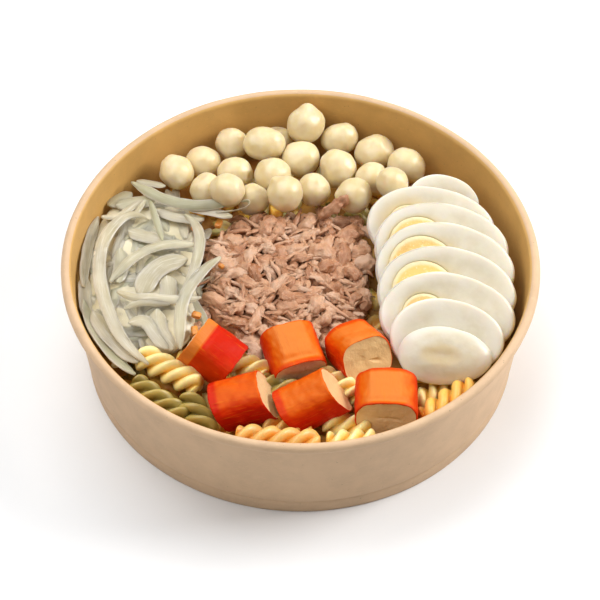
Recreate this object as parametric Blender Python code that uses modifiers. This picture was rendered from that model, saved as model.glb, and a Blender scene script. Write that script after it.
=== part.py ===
"""Pasta salad in a round brown paper bowl.

Pasta spirals fill the bowl. On them lie mozzarella pearls at the back, strips of raw
onion on the left, a heap of tuna flakes in the middle, a sliced boiled egg on the
right and six pieces of crab stick at the front. The origin is under the middle of the
bowl, on the surface that it stands on. -Y is the front.
"""
import math
import random

import bmesh
import bpy
from mathutils import Matrix, Vector

MM = 0.001
GAP = 0.4 * MM
MERGE = 0.01 * MM
SHARP_EDGE = math.radians(40)

# Paper bowl
RIM_RADIUS = 92.5 * MM
RIM_HEIGHT = 50 * MM
ROLL_RADIUS = 2 * MM
ROLL_STEPS = 7
ROLL_END = math.radians(-125)
WALL_TOP_RADIUS = 88.5 * MM
WALL_FOOT_RADIUS = 84 * MM
PAPER = 0.8 * MM
FOOT_RADIUS = 84.2 * MM
FOOT_BAND = 1.6 * MM
BASE_UNDERSIDE = 4 * MM
CORNER = 1 * MM
BOWL_SIDES = 52

# Bare top of the pasta: a low roof whose ridge runs from left to right
RIDGE_Y = 42 * MM
RIDGE_HEIGHT = 31 * MM
FRONT_SLOPE = 0.0234
BACK_SLOPE = 0.158
BED_CLEARANCE = 0.6 * MM
BED_OVERLAP = 1.5 * MM

# Pasta spirals: fin and groove radii, length of one full turn, steps along the bar
FIN_RADIUS = 5.8 * MM
GROOVE_RADIUS = 2.7 * MM
SPIRAL_TURN = 17 * MM
SPIRAL_STEP = 1.7 * MM

# Spirals that show: both ends as x, y and the height of the bar over the bed, in mm
SPIRALS = (
    ((-62.5, -38, 5.5), (-46, -50, 7)),
    ((-61, -51, 5), (-43.5, -66.5, 5)),
    ((-42.8, -58.3, 5), (-34.3, -72.8, 5.6)),
    ((-22, -77.5, 9), (5, -80, 9)),
    ((10, -79, 8), (23, -77, 7)),
    ((48.8, -63.2, 5), (60.5, -53.8, 5)),
)

# Mozzarella pearls in mm: x, y, z, radius, stretch, lean of the long axis in degrees
PEARL_SEGMENTS = 10
PEARL_RINGS = 6
PEARLS = (
    (-50, 55.5, 38, 7.2, 1.04, 100),
    (-39.5, 65, 34.5, 6.9, 1.03, 0),
    (-28.5, 74, 36, 6.7, 1.03, 20),
    (-15, 68.5, 41.5, 7.4, 1.14, -5),
    (-10, 78.5, 32, 6.6, 1.0, 0),
    (1.5, 79.5, 42, 7.6, 1.06, 40),
    (15.5, 77.5, 36, 7.1, 1.1, 20),
    (29.5, 71.5, 34.5, 7.5, 1.1, 15),
    (42, 63, 36, 7.3, 1.05, -20),
    (-38, 47, 38, 6.6, 1.0, 0),
    (-29.5, 39, 46.5, 6.9, 1.03, 10),
    (-26.5, 57.5, 36, 6.9, 1.08, -10),
    (-11.5, 54.5, 38.5, 7.2, 1.05, -30),
    (-0.5, 65, 37, 7.3, 1.02, 0),
    (14.5, 60, 36.5, 7.7, 1.02, 60),
    (28.5, 55, 36.5, 6.9, 1.03, 0),
    (36.2, 44.3, 45.6, 6.4, 1.0, 0),
    (-19, 41.5, 38, 6.5, 1.0, 0),
    (-6.5, 39, 44.5, 7.3, 1.03, 80),
    (5, 48, 37.5, 6.8, 1.02, 0),
    (21, 43, 39.5, 6.9, 1.04, 90),
)
SETTLE_ROUNDS = 40
VIEW_TILT = math.radians(41)

# Sliced egg, from the back to the front in mm: x, y, z, half length, half width, tilt
EGG_SLICE = 4.6 * MM
EGG_PITCH = 4.9 * MM
EGG_TAPER = 0.10
EGG_BLEND = 0.25
EGG_SEGMENTS = 26
EGG_EDGE = 0.5 * MM
EGG_YAW = math.radians(-5)
EGG_SLICES = (
    (56, 39, 39.2, 14.7, 11.6, 29),
    (51, 25.5, 40.9, 25.3, 16, 29),
    (55, 13.8, 41.2, 26.5, 18.2, 27.5),
    (56.2, 2.1, 41.5, 27.2, 19.2, 27),
    (56.5, -9.7, 41.4, 27, 18.8, 27),
    (56.5, -21.2, 41.1, 26.2, 17.4, 28),
    (56, -32, 41.1, 22, 15.5, 29),
    (55, -40.7, 41.9, 18.3, 11.3, 31),
)
CAP_DOME = 5 * MM
CAP_RINGS = 10
YOLK_RADIUS = 12.4 * MM
YOLK_STRETCH = 1.06
YOLK_OFFSET = -9 * MM
YOLK_SEGMENTS = 18
YOLK_REACH = 0.97
YOLK_SLICES = (1, 2, 3, 4, 5)

# Crab stick in mm and degrees: x, y, heading, pitch, length, width, height, and how far
# the cuts lean down and to the side
STICK_SEGMENTS = 20
STICK_SQUARENESS = 2.7
STICK_EDGE = 0.6 * MM
STICK_END = 5 * MM
STICK_ROOM = 1 * MM
STICKS = (
    (-33, -39.5, 151, 22, 18.5, 19, 17.5, -3, 0),
    (-2.5, -38.3, -72, -6, 19, 21, 18, 6, 0),
    (22.3, -37.7, -63, 23, 15.9, 20.5, 17.5, -9, 0),
    (32.6, -60.4, -91, 0, 17, 23.5, 18.5, -2, 0),
    (-21, -61.7, 8, 15, 19, 18.5, 17.5, -13, 0),
    (4.6, -61.9, 18, 20, 20.5, 18, 17.5, -14, 0),
)

# Heaps: sides and rings of a core, how square its outline is (2 is an ellipse), and how
# steep its edge is (lower is steeper)
MOUND_SEGMENTS = 24
MOUND_RINGS = 12
MOUND_SQUARENESS = 3.4
MOUND_POWER = 0.3
TINY_SHARE = 0.01

# Onion heap in mm: middle, half size and height of its core, then the strips on it
ONION_CORE = ((-61.5, 6), (22.5, 39), 8.2)
STRIP_WIDTH = 4.2 * MM
STRIP_THICKNESS = 1.8 * MM
STRIP_ROOM = STRIP_WIDTH / 2 + GAP
STRIP_RESOLUTION = 2
ONION_STRIPS = (
    ((-68, 48, 38), (-62, 43, 39), (-54, 36, 41), (-44, 31, 43), (-34, 28, 44), (-24, 31, 45)),
    ((-59, 31, 40), (-65, 31, 41), (-72, 25, 41), (-77, 13, 40), (-79, 0, 39), (-78, -14, 39),
     (-73, -26, 38)),
    ((-60, 37, 40), (-57, 27, 41), (-54, 17, 39)),
    ((-45, 30, 38), (-40, 23, 38), (-38, 12, 38), (-41, 2, 38)),
    ((-74, -7, 38), (-72, 1, 39), (-67, 10, 39), (-60, 14, 39), (-53, 16, 39), (-42, 16, 39)),
    ((-64, -6, 38), (-59, 4, 39), (-52, 10, 39), (-44, 11, 38)),
    ((-40, 4, 40), (-43, -4, 40), (-45, -13, 39), (-46, -22, 37)),
    ((-72, -8, 38), (-66, -13, 39), (-58, -13, 39), (-50, -14, 38)),
    ((-70, -19, 37), (-64, -16, 38), (-58, -18, 37), (-54, -26, 36)),
    ((-82, 23, 35), (-83, 9, 35), (-82, -6, 35), (-77, -20, 35)),
    ((-79, 31, 36), (-75, 38, 37), (-68, 41, 37), (-60, 39, 37)),
)

# Tuna heap in mm: middle, half size and height of its core, then the flakes on it, each
# with a range for its half length, half width and half thickness
TUNA_CORE = ((-4.8, 5.2), (32.4, 30.2), 7.5)
FLAKE_COUNT = 58
FLAKE_SIZES = ((5, 8), (2.4, 3.6), (1.8, 2.6))
FLAKE_TILT = 0.35
FLAKE_RAGGED = (0.85, 1.1)
FLAKE_SPREAD = 0.95
FLAKE_SEED = 7
GOLDEN_ANGLE = math.radians(137.5)
TUNA_SIDES = (-37.6 * MM, 27 * MM)
CORN_SIZE = 4 * MM
CORN_PLACE = (-11, 26, 37.5)
CORN_TURN = math.radians(30)

COLOURS = {
    "paper": ((0.66, 0.47, 0.29), 0.75),
    "pasta": ((0.86, 0.62, 0.25), 0.45),
    "mozzarella": ((0.90, 0.83, 0.60), 0.35),
    "onion": ((0.80, 0.82, 0.66), 0.30),
    "tuna": ((0.62, 0.42, 0.30), 0.60),
    "egg_white": ((0.90, 0.87, 0.80), 0.35),
    "egg_yolk": ((0.90, 0.62, 0.22), 0.55),
    "crab_stick": ((0.92, 0.26, 0.05), 0.40),
}


def start_scene():
    """An empty scene with one collection for the salad and one for its cutters."""
    for obj in list(bpy.data.objects):
        bpy.data.objects.remove(obj)
    groups = []
    for name in ("pasta_salad", "cutters"):
        group = bpy.data.collections.new(name)
        bpy.context.scene.collection.children.link(group)
        groups.append(group)
    return groups


def material(kind):
    """The plain material of one kind of food or of the paper."""
    found = bpy.data.materials.get(kind)
    if found:
        return found
    colour, roughness = COLOURS[kind]
    made = bpy.data.materials.new(kind)
    made.use_nodes = True
    shader = made.node_tree.nodes["Principled BSDF"]
    shader.inputs["Base Color"].default_value = (*colour, 1)
    shader.inputs["Roughness"].default_value = roughness
    shader.inputs["Metallic"].default_value = 0
    return made


def mesh_from(bm, name):
    """A finished bmesh as mesh data, with its faces pointing out."""
    bmesh.ops.recalc_face_normals(bm, faces=bm.faces[:])
    mesh = bpy.data.meshes.new(name)
    bm.to_mesh(mesh)
    bm.free()
    return mesh


def add_part(name, mesh, kind, group=None):
    """One named object of the salad, smooth apart from its real edges."""
    mesh.materials.clear()
    mesh.materials.append(material(kind))
    mesh.shade_smooth()
    mesh.set_sharp_from_angle(angle=SHARP_EDGE)
    obj = bpy.data.objects.new(name, mesh)
    (group or SALAD).objects.link(obj)
    return obj


def millimetres(values):
    """A point given in millimetres, in metres."""
    return Vector(values) * MM


def cut_away(bm, point, normal):
    """Slices off what lies past a plane and closes the cut."""
    geometry = bm.verts[:] + bm.edges[:] + bm.faces[:]
    cut = bmesh.ops.bisect_plane(
        bm, geom=geometry, plane_co=point, plane_no=normal, clear_outer=True
    )
    rim = [item for item in cut["geom_cut"] if isinstance(item, bmesh.types.BMEdge)]
    bmesh.ops.edgeloop_fill(bm, edges=rim)


def inner_radius(z):
    """Radius of the bowl's inner face at a height."""
    foot = BASE_UNDERSIDE + PAPER + CORNER
    share = (z - foot) / (RIM_HEIGHT - ROLL_RADIUS - foot)
    return WALL_FOOT_RADIUS + (WALL_TOP_RADIUS - WALL_FOOT_RADIUS) * share


def bowl_section():
    """From the middle of the floor up the inside, over the roll and down the outside."""
    floor = BASE_UNDERSIDE + PAPER
    points = [(0, floor), (WALL_FOOT_RADIUS - CORNER, floor), (WALL_FOOT_RADIUS, floor + CORNER)]
    for step in range(ROLL_STEPS + 1):
        angle = math.pi + (ROLL_END - math.pi) * step / ROLL_STEPS
        x = RIM_RADIUS - ROLL_RADIUS + ROLL_RADIUS * math.cos(angle)
        z = RIM_HEIGHT - ROLL_RADIUS + ROLL_RADIUS * math.sin(angle)
        points.append((x, z))
    foot_inside = FOOT_RADIUS - FOOT_BAND
    points += [(FOOT_RADIUS, CORNER), (FOOT_RADIUS - CORNER / 2, 0), (foot_inside, 0)]
    points += [(foot_inside, BASE_UNDERSIDE), (0, BASE_UNDERSIDE)]
    return points


def make_bowl():
    """Paper bowl: flared wall, rolled rim, and a floor set up inside the foot."""
    section = bowl_section()
    mesh = bpy.data.meshes.new("bowl")
    edges = [(i, i + 1) for i in range(len(section) - 1)]
    mesh.from_pydata([(x, 0, z) for x, z in section], edges, [])
    bowl = add_part("bowl", mesh, "paper")
    turn = bowl.modifiers.new("Turn", "SCREW")
    turn.steps = BOWL_SIDES
    turn.render_steps = BOWL_SIDES
    turn.use_merge_vertices = True
    turn.merge_threshold = MERGE
    return bowl


def bed_height(y):
    """Height of the pasta's bare top, where the toppings rest."""
    front = RIDGE_HEIGHT + FRONT_SLOPE * (y - RIDGE_Y)
    back = RIDGE_HEIGHT - BACK_SLOPE * (y - RIDGE_Y)
    return min(front, back)


def spiral_mesh(length):
    """One pasta spiral along Z: a bar with three fins, twisted."""
    bm = bmesh.new()
    bmesh.ops.create_cone(
        bm, cap_ends=True, segments=6, radius1=FIN_RADIUS, radius2=FIN_RADIUS, depth=length
    )
    along = [e for e in bm.edges if abs(e.verts[0].co.z - e.verts[1].co.z) > length / 2]
    cuts = round(length / SPIRAL_STEP) - 1
    bmesh.ops.subdivide_edges(bm, edges=along, cuts=cuts, use_grid_fill=True)
    for vertex in bm.verts:
        angle = math.atan2(vertex.co.y, vertex.co.x)
        corner = round((angle - math.pi / 2) / (math.pi / 3))
        radius = FIN_RADIUS if corner % 2 == 0 else GROOVE_RADIUS
        angle -= vertex.co.z / SPIRAL_TURN * 2 * math.pi
        vertex.co.x = radius * math.cos(angle)
        vertex.co.y = radius * math.sin(angle)
    bmesh.ops.triangulate(bm, faces=bm.faces[:])
    return mesh_from(bm, "spiral")


def over_bed(x, y, lift):
    """A point in millimetres at a height over the bare pasta."""
    return Vector((x * MM, y * MM, bed_height(y * MM) + lift * MM))


def lower_pasta(name, start, finish):
    """The pasta under a raised spiral: a plain bar from its middle down into the bed."""
    along = finish - start
    middle = (start + finish) / 2
    bottom = bed_height(middle.y) - BED_OVERLAP
    bm = bmesh.new()
    bmesh.ops.create_cube(bm, size=1)
    size = (along.length - SPIRAL_TURN / 3, GROOVE_RADIUS * 2, middle.z - bottom)
    bmesh.ops.scale(bm, vec=size, verts=bm.verts[:])
    bar = bpy.data.objects.new(name, mesh_from(bm, name))
    place = Matrix.Translation((middle.x, middle.y, (middle.z + bottom) / 2))
    bar.matrix_world = place @ Matrix.Rotation(math.atan2(along.y, along.x), 4, "Z")
    return bar


def make_spirals():
    """The spirals that show round the crab sticks, on the pasta below them."""
    made = []
    for number, ends in enumerate(SPIRALS, 1):
        start = over_bed(*ends[0])
        finish = over_bed(*ends[1])
        along = finish - start
        spiral = bpy.data.objects.new(f"spiral_{number}", spiral_mesh(along.length))
        turn = along.to_track_quat("Z", "Y").to_matrix().to_4x4()
        spiral.matrix_world = Matrix.Translation((start + finish) / 2) @ turn
        made += [spiral, lower_pasta(f"lower_{number}", start, finish)]
    return made


def make_bed_core():
    """The packed pasta below the toppings, out to the bowl's wall."""
    bottom = BASE_UNDERSIDE + PAPER + GAP
    top = RIDGE_HEIGHT + CORNER
    bm = bmesh.new()
    bmesh.ops.create_cone(
        bm, cap_ends=True, segments=BOWL_SIDES,
        radius1=inner_radius(bottom) - CORNER - BED_CLEARANCE,
        radius2=inner_radius(top) - BED_CLEARANCE, depth=top - bottom,
        matrix=Matrix.Translation((0, 0, (top + bottom) / 2)),
    )
    ridge = Vector((0, RIDGE_Y, RIDGE_HEIGHT))
    cut_away(bm, ridge, Vector((0, -FRONT_SLOPE, 1)))
    cut_away(bm, ridge, Vector((0, BACK_SLOPE, 1)))
    return add_part("pasta_bed", mesh_from(bm, "pasta_bed"), "pasta")


def keep_main_shell(mesh):
    """Drops loose scraps and sealed hollows, so that one closed shell is left."""
    bm = bmesh.new()
    bm.from_mesh(mesh)
    bmesh.ops.remove_doubles(bm, verts=bm.verts[:], dist=MERGE)
    bmesh.ops.dissolve_degenerate(bm, edges=bm.edges[:], dist=MERGE)
    bmesh.ops.triangulate(bm, faces=bm.faces[:])
    left = set(bm.verts)
    shells = []
    while left:
        shell = {left.pop()}
        front = list(shell)
        while front:
            vertex = front.pop()
            for edge in vertex.link_edges:
                other = edge.other_vert(vertex)
                if other in left:
                    left.remove(other)
                    shell.add(other)
                    front.append(other)
        shells.append(shell)
    main = max(shells, key=len)
    scraps = [vertex for vertex in bm.verts if vertex not in main]
    bmesh.ops.delete(bm, geom=scraps, context="VERTS")
    bm.to_mesh(mesh)
    bm.free()


def fuse(core, pieces, solver="EXACT"):
    """Joins the pieces that show to their core as one closed solid.

    The manifold solver is for thin pieces that cross, which the exact one leaves open.
    """
    group = bpy.data.collections.new(core.name + "_pieces")
    bpy.context.scene.collection.children.link(group)
    for piece in pieces:
        group.objects.link(piece)
    union = core.modifiers.new("Fuse", "BOOLEAN")
    union.operation = "UNION"
    union.operand_type = "COLLECTION"
    union.collection = group
    union.solver = solver
    depsgraph = bpy.context.evaluated_depsgraph_get()
    fused = bpy.data.meshes.new_from_object(core.evaluated_get(depsgraph))
    core.modifiers.clear()
    for piece in pieces:
        bpy.data.objects.remove(piece)
    bpy.data.collections.remove(group)
    keep_main_shell(fused)
    fused.materials.clear()
    fused.materials.append(core.data.materials[0])
    core.data = fused


def settled_pearls():
    """Pearl centres pushed apart until no two touch and none is in the bed or the wall."""
    radii = [row[3] * MM for row in PEARLS]
    centres = [millimetres(row[:3]) for row in PEARLS]
    for _ in range(SETTLE_ROUNDS):
        for i, first in enumerate(centres):
            for j in range(i):
                apart = first - centres[j]
                lack = radii[i] + radii[j] + GAP - apart.length
                if lack > 0:
                    push = apart.normalized() * lack / 2
                    first += push
                    centres[j] -= push
            first.z = max(first.z, bed_height(first.y) + radii[i] + GAP)
            reach = math.hypot(first.x, first.y)
            room = inner_radius(first.z) - radii[i] - 2 * GAP
            if reach > room:
                first.x *= room / reach
                first.y *= room / reach
    return centres


def make_pearls():
    """Mozzarella pearls, each a little longer one way."""
    for number, (row, centre) in enumerate(zip(PEARLS, settled_pearls()), 1):
        radius, stretch, lean = row[3] * MM, row[4], math.radians(row[5])
        bm = bmesh.new()
        bmesh.ops.create_uvsphere(
            bm, u_segments=PEARL_SEGMENTS, v_segments=PEARL_RINGS, radius=radius
        )
        side = 1 / math.sqrt(stretch)
        bmesh.ops.scale(bm, vec=(stretch, side, side), verts=bm.verts[:])
        pearl = add_part(f"pearl_{number:02d}", mesh_from(bm, "pearl"), "mozzarella")
        facing = Matrix.Rotation(VIEW_TILT, 4, "X") @ Matrix.Rotation(lean, 4, "Z")
        pearl.matrix_world = Matrix.Translation(centre) @ facing


def egg_outline(angle, half_length, half_width):
    """A point on an egg's outline whose narrow end is at +X."""
    x = half_length * math.cos(angle)
    y = half_width * math.sin(angle) * (1 - EGG_TAPER * math.cos(angle))
    return x, y


def egg_sizes(number):
    """Half length and half width of a middle slice at its back and front faces."""
    own, before, after = (EGG_SLICES[index][3:5] for index in (number, number - 1, number + 1))
    back = [(a + (b - a) * EGG_BLEND) * MM for a, b in zip(own, before)]
    front = [(a + (b - a) * EGG_BLEND) * MM for a, b in zip(own, after)]
    return back, front


def egg_slice_mesh(number):
    """A slice from the middle of the egg: a flat disc with softened edges."""
    back, front = egg_sizes(number)
    bm = bmesh.new()
    bmesh.ops.create_cone(
        bm, cap_ends=True, segments=EGG_SEGMENTS, radius1=1, radius2=1, depth=EGG_SLICE
    )
    for vertex in bm.verts:
        angle = math.atan2(vertex.co.y, vertex.co.x)
        size = front if vertex.co.z > 0 else back
        vertex.co.x, vertex.co.y = egg_outline(angle, *size)
    rims = [e for e in bm.edges if abs(e.verts[0].co.z - e.verts[1].co.z) < EGG_SLICE / 2]
    bmesh.ops.bevel(bm, geom=rims, offset=EGG_EDGE, segments=1, affect="EDGES")
    return mesh_from(bm, "egg_slice")


def egg_cap_mesh(number):
    """An end slice: flat on the side of the egg's middle, domed on the other."""
    outward = -1 if number == 0 else 1
    half_length, half_width = (size * MM for size in EGG_SLICES[number][3:5])
    flat = -outward * EGG_SLICE / 2
    bm = bmesh.new()
    bmesh.ops.create_uvsphere(bm, u_segments=EGG_SEGMENTS, v_segments=CAP_RINGS, radius=1)
    cut_away(bm, Vector((0, 0, 0)), Vector((0, 0, -outward)))
    for vertex in bm.verts:
        spread = math.hypot(vertex.co.x, vertex.co.y)
        angle = math.atan2(vertex.co.y, vertex.co.x)
        x, y = egg_outline(angle, half_length, half_width)
        vertex.co = Vector((x * spread, y * spread, flat + vertex.co.z * CAP_DOME))
    return mesh_from(bm, "egg_cap")


def yolk_span(number):
    """Back and front face of a slice's yolk as height in the slice and radius."""
    middle = (number - (len(EGG_SLICES) - 1) / 2) * EGG_PITCH
    span = []
    for side in (-0.5, 0.5):
        height = side * EGG_SLICE
        height = max(height, -middle - YOLK_RADIUS * YOLK_REACH)
        radius = math.sqrt(YOLK_RADIUS ** 2 - (middle + height) ** 2)
        span.append((height, radius))
    return span


def yolk_mesh(span, grow):
    """The yolk between two faces; with grow it is the hole, wider and longer by that much."""
    (low, low_radius), (high, high_radius) = span
    flare = (high_radius - low_radius) / (high - low) * grow
    bm = bmesh.new()
    bmesh.ops.create_cone(
        bm, cap_ends=True, segments=YOLK_SEGMENTS, radius1=low_radius - flare + grow,
        radius2=high_radius + flare + grow, depth=high - low + 2 * grow,
        matrix=Matrix.Translation((0, 0, (low + high) / 2)),
    )
    bmesh.ops.scale(bm, vec=(YOLK_STRETCH, 1, 1), verts=bm.verts[:])
    bmesh.ops.translate(bm, vec=(YOLK_OFFSET, 0, 0), verts=bm.verts[:])
    return mesh_from(bm, "yolk")


def make_egg():
    """Eight slices that lean back on each other, five of them with yolk."""
    last = len(EGG_SLICES) - 1
    for number, row in enumerate(EGG_SLICES):
        place = Matrix.Translation(millimetres(row[:3]))
        place @= Matrix.Rotation(EGG_YAW, 4, "Z") @ Matrix.Rotation(math.radians(row[5]), 4, "X")
        mesh = egg_cap_mesh(number) if number in (0, last) else egg_slice_mesh(number)
        white = add_part(f"egg_white_{number + 1}", mesh, "egg_white")
        white.matrix_world = place
        if number not in YOLK_SLICES:
            continue
        span = yolk_span(number)
        cutter = add_part(f"yolk_hole_{number + 1}", yolk_mesh(span, GAP), "egg_yolk", CUTTERS)
        cutter.matrix_world = place
        cutter.hide_render = True
        cutter.display_type = "WIRE"
        hole = white.modifiers.new("Yolk", "BOOLEAN")
        hole.object = cutter
        yolk = add_part(f"egg_yolk_{number + 1}", yolk_mesh(span, 0), "egg_yolk")
        yolk.matrix_world = place


def stick_mesh(length, width, height, lean):
    """A piece of crab stick along Z with a square-ish section and slanting ends."""
    bm = bmesh.new()
    bmesh.ops.create_cone(
        bm, cap_ends=True, segments=STICK_SEGMENTS, radius1=1, radius2=1, depth=2 * length
    )
    power = 2 / STICK_SQUARENESS
    for vertex in bm.verts:
        angle = math.atan2(vertex.co.y, vertex.co.x)
        cosine, sine = math.cos(angle), math.sin(angle)
        vertex.co.x = width / 2 * math.copysign(abs(cosine) ** power, cosine)
        vertex.co.y = height / 2 * math.copysign(abs(sine) ** power, sine)
    slant = Vector((math.tan(lean[1]), math.tan(lean[0]), 1)).normalized()
    cut_away(bm, Vector((0, 0, length / 2)), slant)
    cut_away(bm, Vector((0, 0, -length / 2)), -slant)
    rims = [e for e in bm.edges if any(len(face.verts) > 4 for face in e.link_faces)]
    bmesh.ops.bevel(bm, geom=rims, offset=STICK_EDGE, segments=1, affect="EDGES")
    return mesh_from(bm, "crab_stick")


def make_sticks():
    """Six pieces of crab stick, each let down until it rests on the pasta."""
    for number, row in enumerate(STICKS, 1):
        x, y, heading, pitch, length, width, height, *lean = row
        heading, pitch = math.radians(heading), math.radians(pitch)
        along = Vector((math.cos(heading) * math.cos(pitch),
                        math.sin(heading) * math.cos(pitch), math.sin(pitch)))
        across = Vector((math.sin(heading), -math.cos(heading), 0))
        turn = Matrix((across, along.cross(across), along)).transposed()
        lean = [math.radians(angle) for angle in lean]
        mesh = stick_mesh(length * MM, width * MM, height * MM, lean)
        points = [turn @ vertex.co + millimetres((x, y, 0)) for vertex in mesh.vertices]
        lift = max(bed_height(point.y) - point.z for point in points) + GAP
        stick = add_part(f"crab_stick_{number}", mesh, "crab_stick")
        stick.matrix_world = Matrix.Translation((x * MM, y * MM, lift)) @ turn.to_4x4()


def mound_spread(u, v):
    """How far out a place of a heap lies, from 0 in the middle to 1 on its outline."""
    power = MOUND_SQUARENESS
    return (abs(u) ** power + abs(v) ** power) ** (1 / power)


def mound_height(place, core):
    """Height of a heap's core over the bed at a place given in metres."""
    (middle_x, middle_y), (half_x, half_y), height = core
    spread = mound_spread((place[0] / MM - middle_x) / half_x, (place[1] / MM - middle_y) / half_y)
    return height * MM * max(0, 1 - spread ** 2) ** MOUND_POWER


def make_mound(name, core, kind):
    """A low heap with a flat underside on the bed, kept inside the wall."""
    (middle_x, middle_y), (half_x, half_y), _ = core
    bm = bmesh.new()
    bmesh.ops.create_uvsphere(
        bm, u_segments=MOUND_SEGMENTS, v_segments=MOUND_RINGS, radius=1
    )
    for vertex in bm.verts:
        upper = vertex.co.z > TINY_SHARE
        u, v, _ = vertex.co
        square = math.hypot(u, v) / max(mound_spread(u, v), TINY_SHARE)
        x = (middle_x + half_x * u * square) * MM
        y = (middle_y + half_y * v * square) * MM
        base = bed_height(y) + GAP
        room = (inner_radius(base) - 2 * GAP) / max(math.hypot(x, y), MM)
        if room < 1:
            x *= room
            y *= room
        z = base + (mound_height((x, y), core) if upper else 0)
        vertex.co = Vector((x, y, z))
    bmesh.ops.triangulate(bm, faces=bm.faces[:])
    return add_part(name, mesh_from(bm, name), kind)


def taken_places():
    """Toppings as capsules: both ends of a middle line, and the radius round it."""
    taken = []
    for centre, row in zip(settled_pearls(), PEARLS):
        taken.append((centre, centre, row[3] * row[4] * MM))
    for ends in SPIRALS:
        taken.append((over_bed(*ends[0]), over_bed(*ends[1]), FIN_RADIUS))
    for number, row in enumerate(STICKS, 1):
        stick = bpy.data.objects[f"crab_stick_{number}"].matrix_world
        reach = row[4] / 2 * MM - STICK_END
        ends = [stick @ Vector((0, 0, side * reach)) for side in (-1, 1)]
        taken.append((*ends, row[5] / 2 * MM + STICK_ROOM))
    return taken


def is_clear(points, taken, margin):
    """True where no point is nearer than margin to a topping, the wall or the bed."""
    for point in points:
        if math.hypot(point.x, point.y) + margin > inner_radius(point.z):
            return False
        if point.z - margin < bed_height(point.y):
            return False
        for start, finish, radius in taken:
            along = finish - start
            share = 0
            if along.length > 0:
                share = min(1, max(0, (point - start).dot(along) / along.length_squared))
            if (point - start - along * share).length < radius + margin:
                return False
    return True


def strip_object(name, points):
    """A flat strip along a smooth route, as a mesh."""
    section = bpy.data.curves.new(name + "_section", "CURVE")
    section.dimensions = "2D"
    outline = section.splines.new("POLY")
    corners = [(-1, -0.5), (0, -1), (1, -0.5), (1, 0.5), (0, 1), (-1, 0.5)]
    outline.points.add(len(corners) - 1)
    for point, (u, v) in zip(outline.points, corners):
        point.co = (u * STRIP_WIDTH / 2, v * STRIP_THICKNESS / 2, 0, 1)
    outline.use_cyclic_u = True
    section_object = bpy.data.objects.new(name + "_section", section)
    route = bpy.data.curves.new(name, "CURVE")
    route.dimensions = "3D"
    route.twist_mode = "Z_UP"
    route.bevel_mode = "OBJECT"
    route.bevel_object = section_object
    route.use_fill_caps = True
    route.resolution_u = STRIP_RESOLUTION
    line = route.splines.new("NURBS")
    line.points.add(len(points) - 1)
    for point, place in zip(line.points, points):
        point.co = (*place, 1)
    line.order_u = 3
    line.use_endpoint_u = True
    curve = bpy.data.objects.new(name + "_route", route)
    SALAD.objects.link(section_object)
    SALAD.objects.link(curve)
    depsgraph = bpy.context.evaluated_depsgraph_get()
    mesh = bpy.data.meshes.new_from_object(curve.evaluated_get(depsgraph))
    bpy.data.objects.remove(curve)
    bpy.data.objects.remove(section_object)
    bm = bmesh.new()
    bm.from_mesh(mesh)
    bmesh.ops.remove_doubles(bm, verts=bm.verts[:], dist=MERGE)
    bmesh.ops.triangulate(bm, faces=bm.faces[:])
    return bpy.data.objects.new(name, mesh_from(bm, name))


def make_onion(taken):
    """Onion heap: a core with the strips that show on top."""
    core = make_mound("onion_heap", ONION_CORE, "onion")
    strips = []
    for number, route in enumerate(ONION_STRIPS, 1):
        points = [millimetres(place) for place in route]
        while len(points) > 2 and not is_clear(points[:1], taken, STRIP_ROOM):
            points.pop(0)
        while len(points) > 2 and not is_clear(points[-1:], taken, STRIP_ROOM):
            points.pop()
        if is_clear(points, taken, STRIP_ROOM):
            strips.append(strip_object(f"strip_{number}", points))
    print("onion strips kept:", len(strips), "of", len(ONION_STRIPS))
    fuse(core, strips, "MANIFOLD")


def flake_object(name, place, size, turn, draw):
    """A torn flake: a low-sided lump, longer than wide."""
    bm = bmesh.new()
    bmesh.ops.create_icosphere(bm, subdivisions=1, radius=1)
    for vertex in bm.verts:
        vertex.co *= draw.uniform(*FLAKE_RAGGED)
        vertex.co = Vector([value * half for value, half in zip(vertex.co, size)])
    flake = bpy.data.objects.new(name, mesh_from(bm, name))
    flake.matrix_world = Matrix.Translation(place) @ turn
    return flake


def make_tuna(taken):
    """Tuna heap: a core covered with flakes on a spiral, and a bit of sweet corn."""
    core = make_mound("tuna_heap", TUNA_CORE, "tuna")
    (middle_x, middle_y), (half_x, half_y), _ = TUNA_CORE
    draw = random.Random(FLAKE_SEED)
    flakes = []
    for number in range(FLAKE_COUNT):
        spread = math.sqrt((number + 0.5) / FLAKE_COUNT) * FLAKE_SPREAD
        angle = number * GOLDEN_ANGLE
        spread /= mound_spread(math.cos(angle), math.sin(angle))
        x = (middle_x + half_x * spread * math.cos(angle)) * MM
        y = (middle_y + half_y * spread * math.sin(angle)) * MM
        size = [draw.uniform(*span) * MM for span in FLAKE_SIZES]
        turn = Matrix.Rotation(draw.uniform(0, math.pi), 4, "Z")
        turn @= Matrix.Rotation(draw.uniform(-FLAKE_TILT, FLAKE_TILT), 4, "Y")
        z = bed_height(y) + GAP + mound_height((x, y), TUNA_CORE) + draw.uniform(0, 1) * MM
        place = Vector((x, y, z))
        ends = [place + turn.to_3x3() @ Vector((side * size[0], 0, 0)) for side in (-1, 0, 1)]
        left, right = TUNA_SIDES
        inside = all(left < end.x < right for end in ends)
        if inside and is_clear(ends, taken, size[1]):
            flakes.append(flake_object(f"flake_{number}", place, size, turn, draw))
    bm = bmesh.new()
    bmesh.ops.create_cube(bm, size=CORN_SIZE)
    corn = bpy.data.objects.new("corn", mesh_from(bm, "corn"))
    turn = Matrix.Rotation(CORN_TURN, 4, "Z")
    corn.matrix_world = Matrix.Translation(millimetres(CORN_PLACE)) @ turn
    print("tuna flakes kept:", len(flakes), "of", FLAKE_COUNT)
    fuse(core, flakes + [corn], "MANIFOLD")


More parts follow.
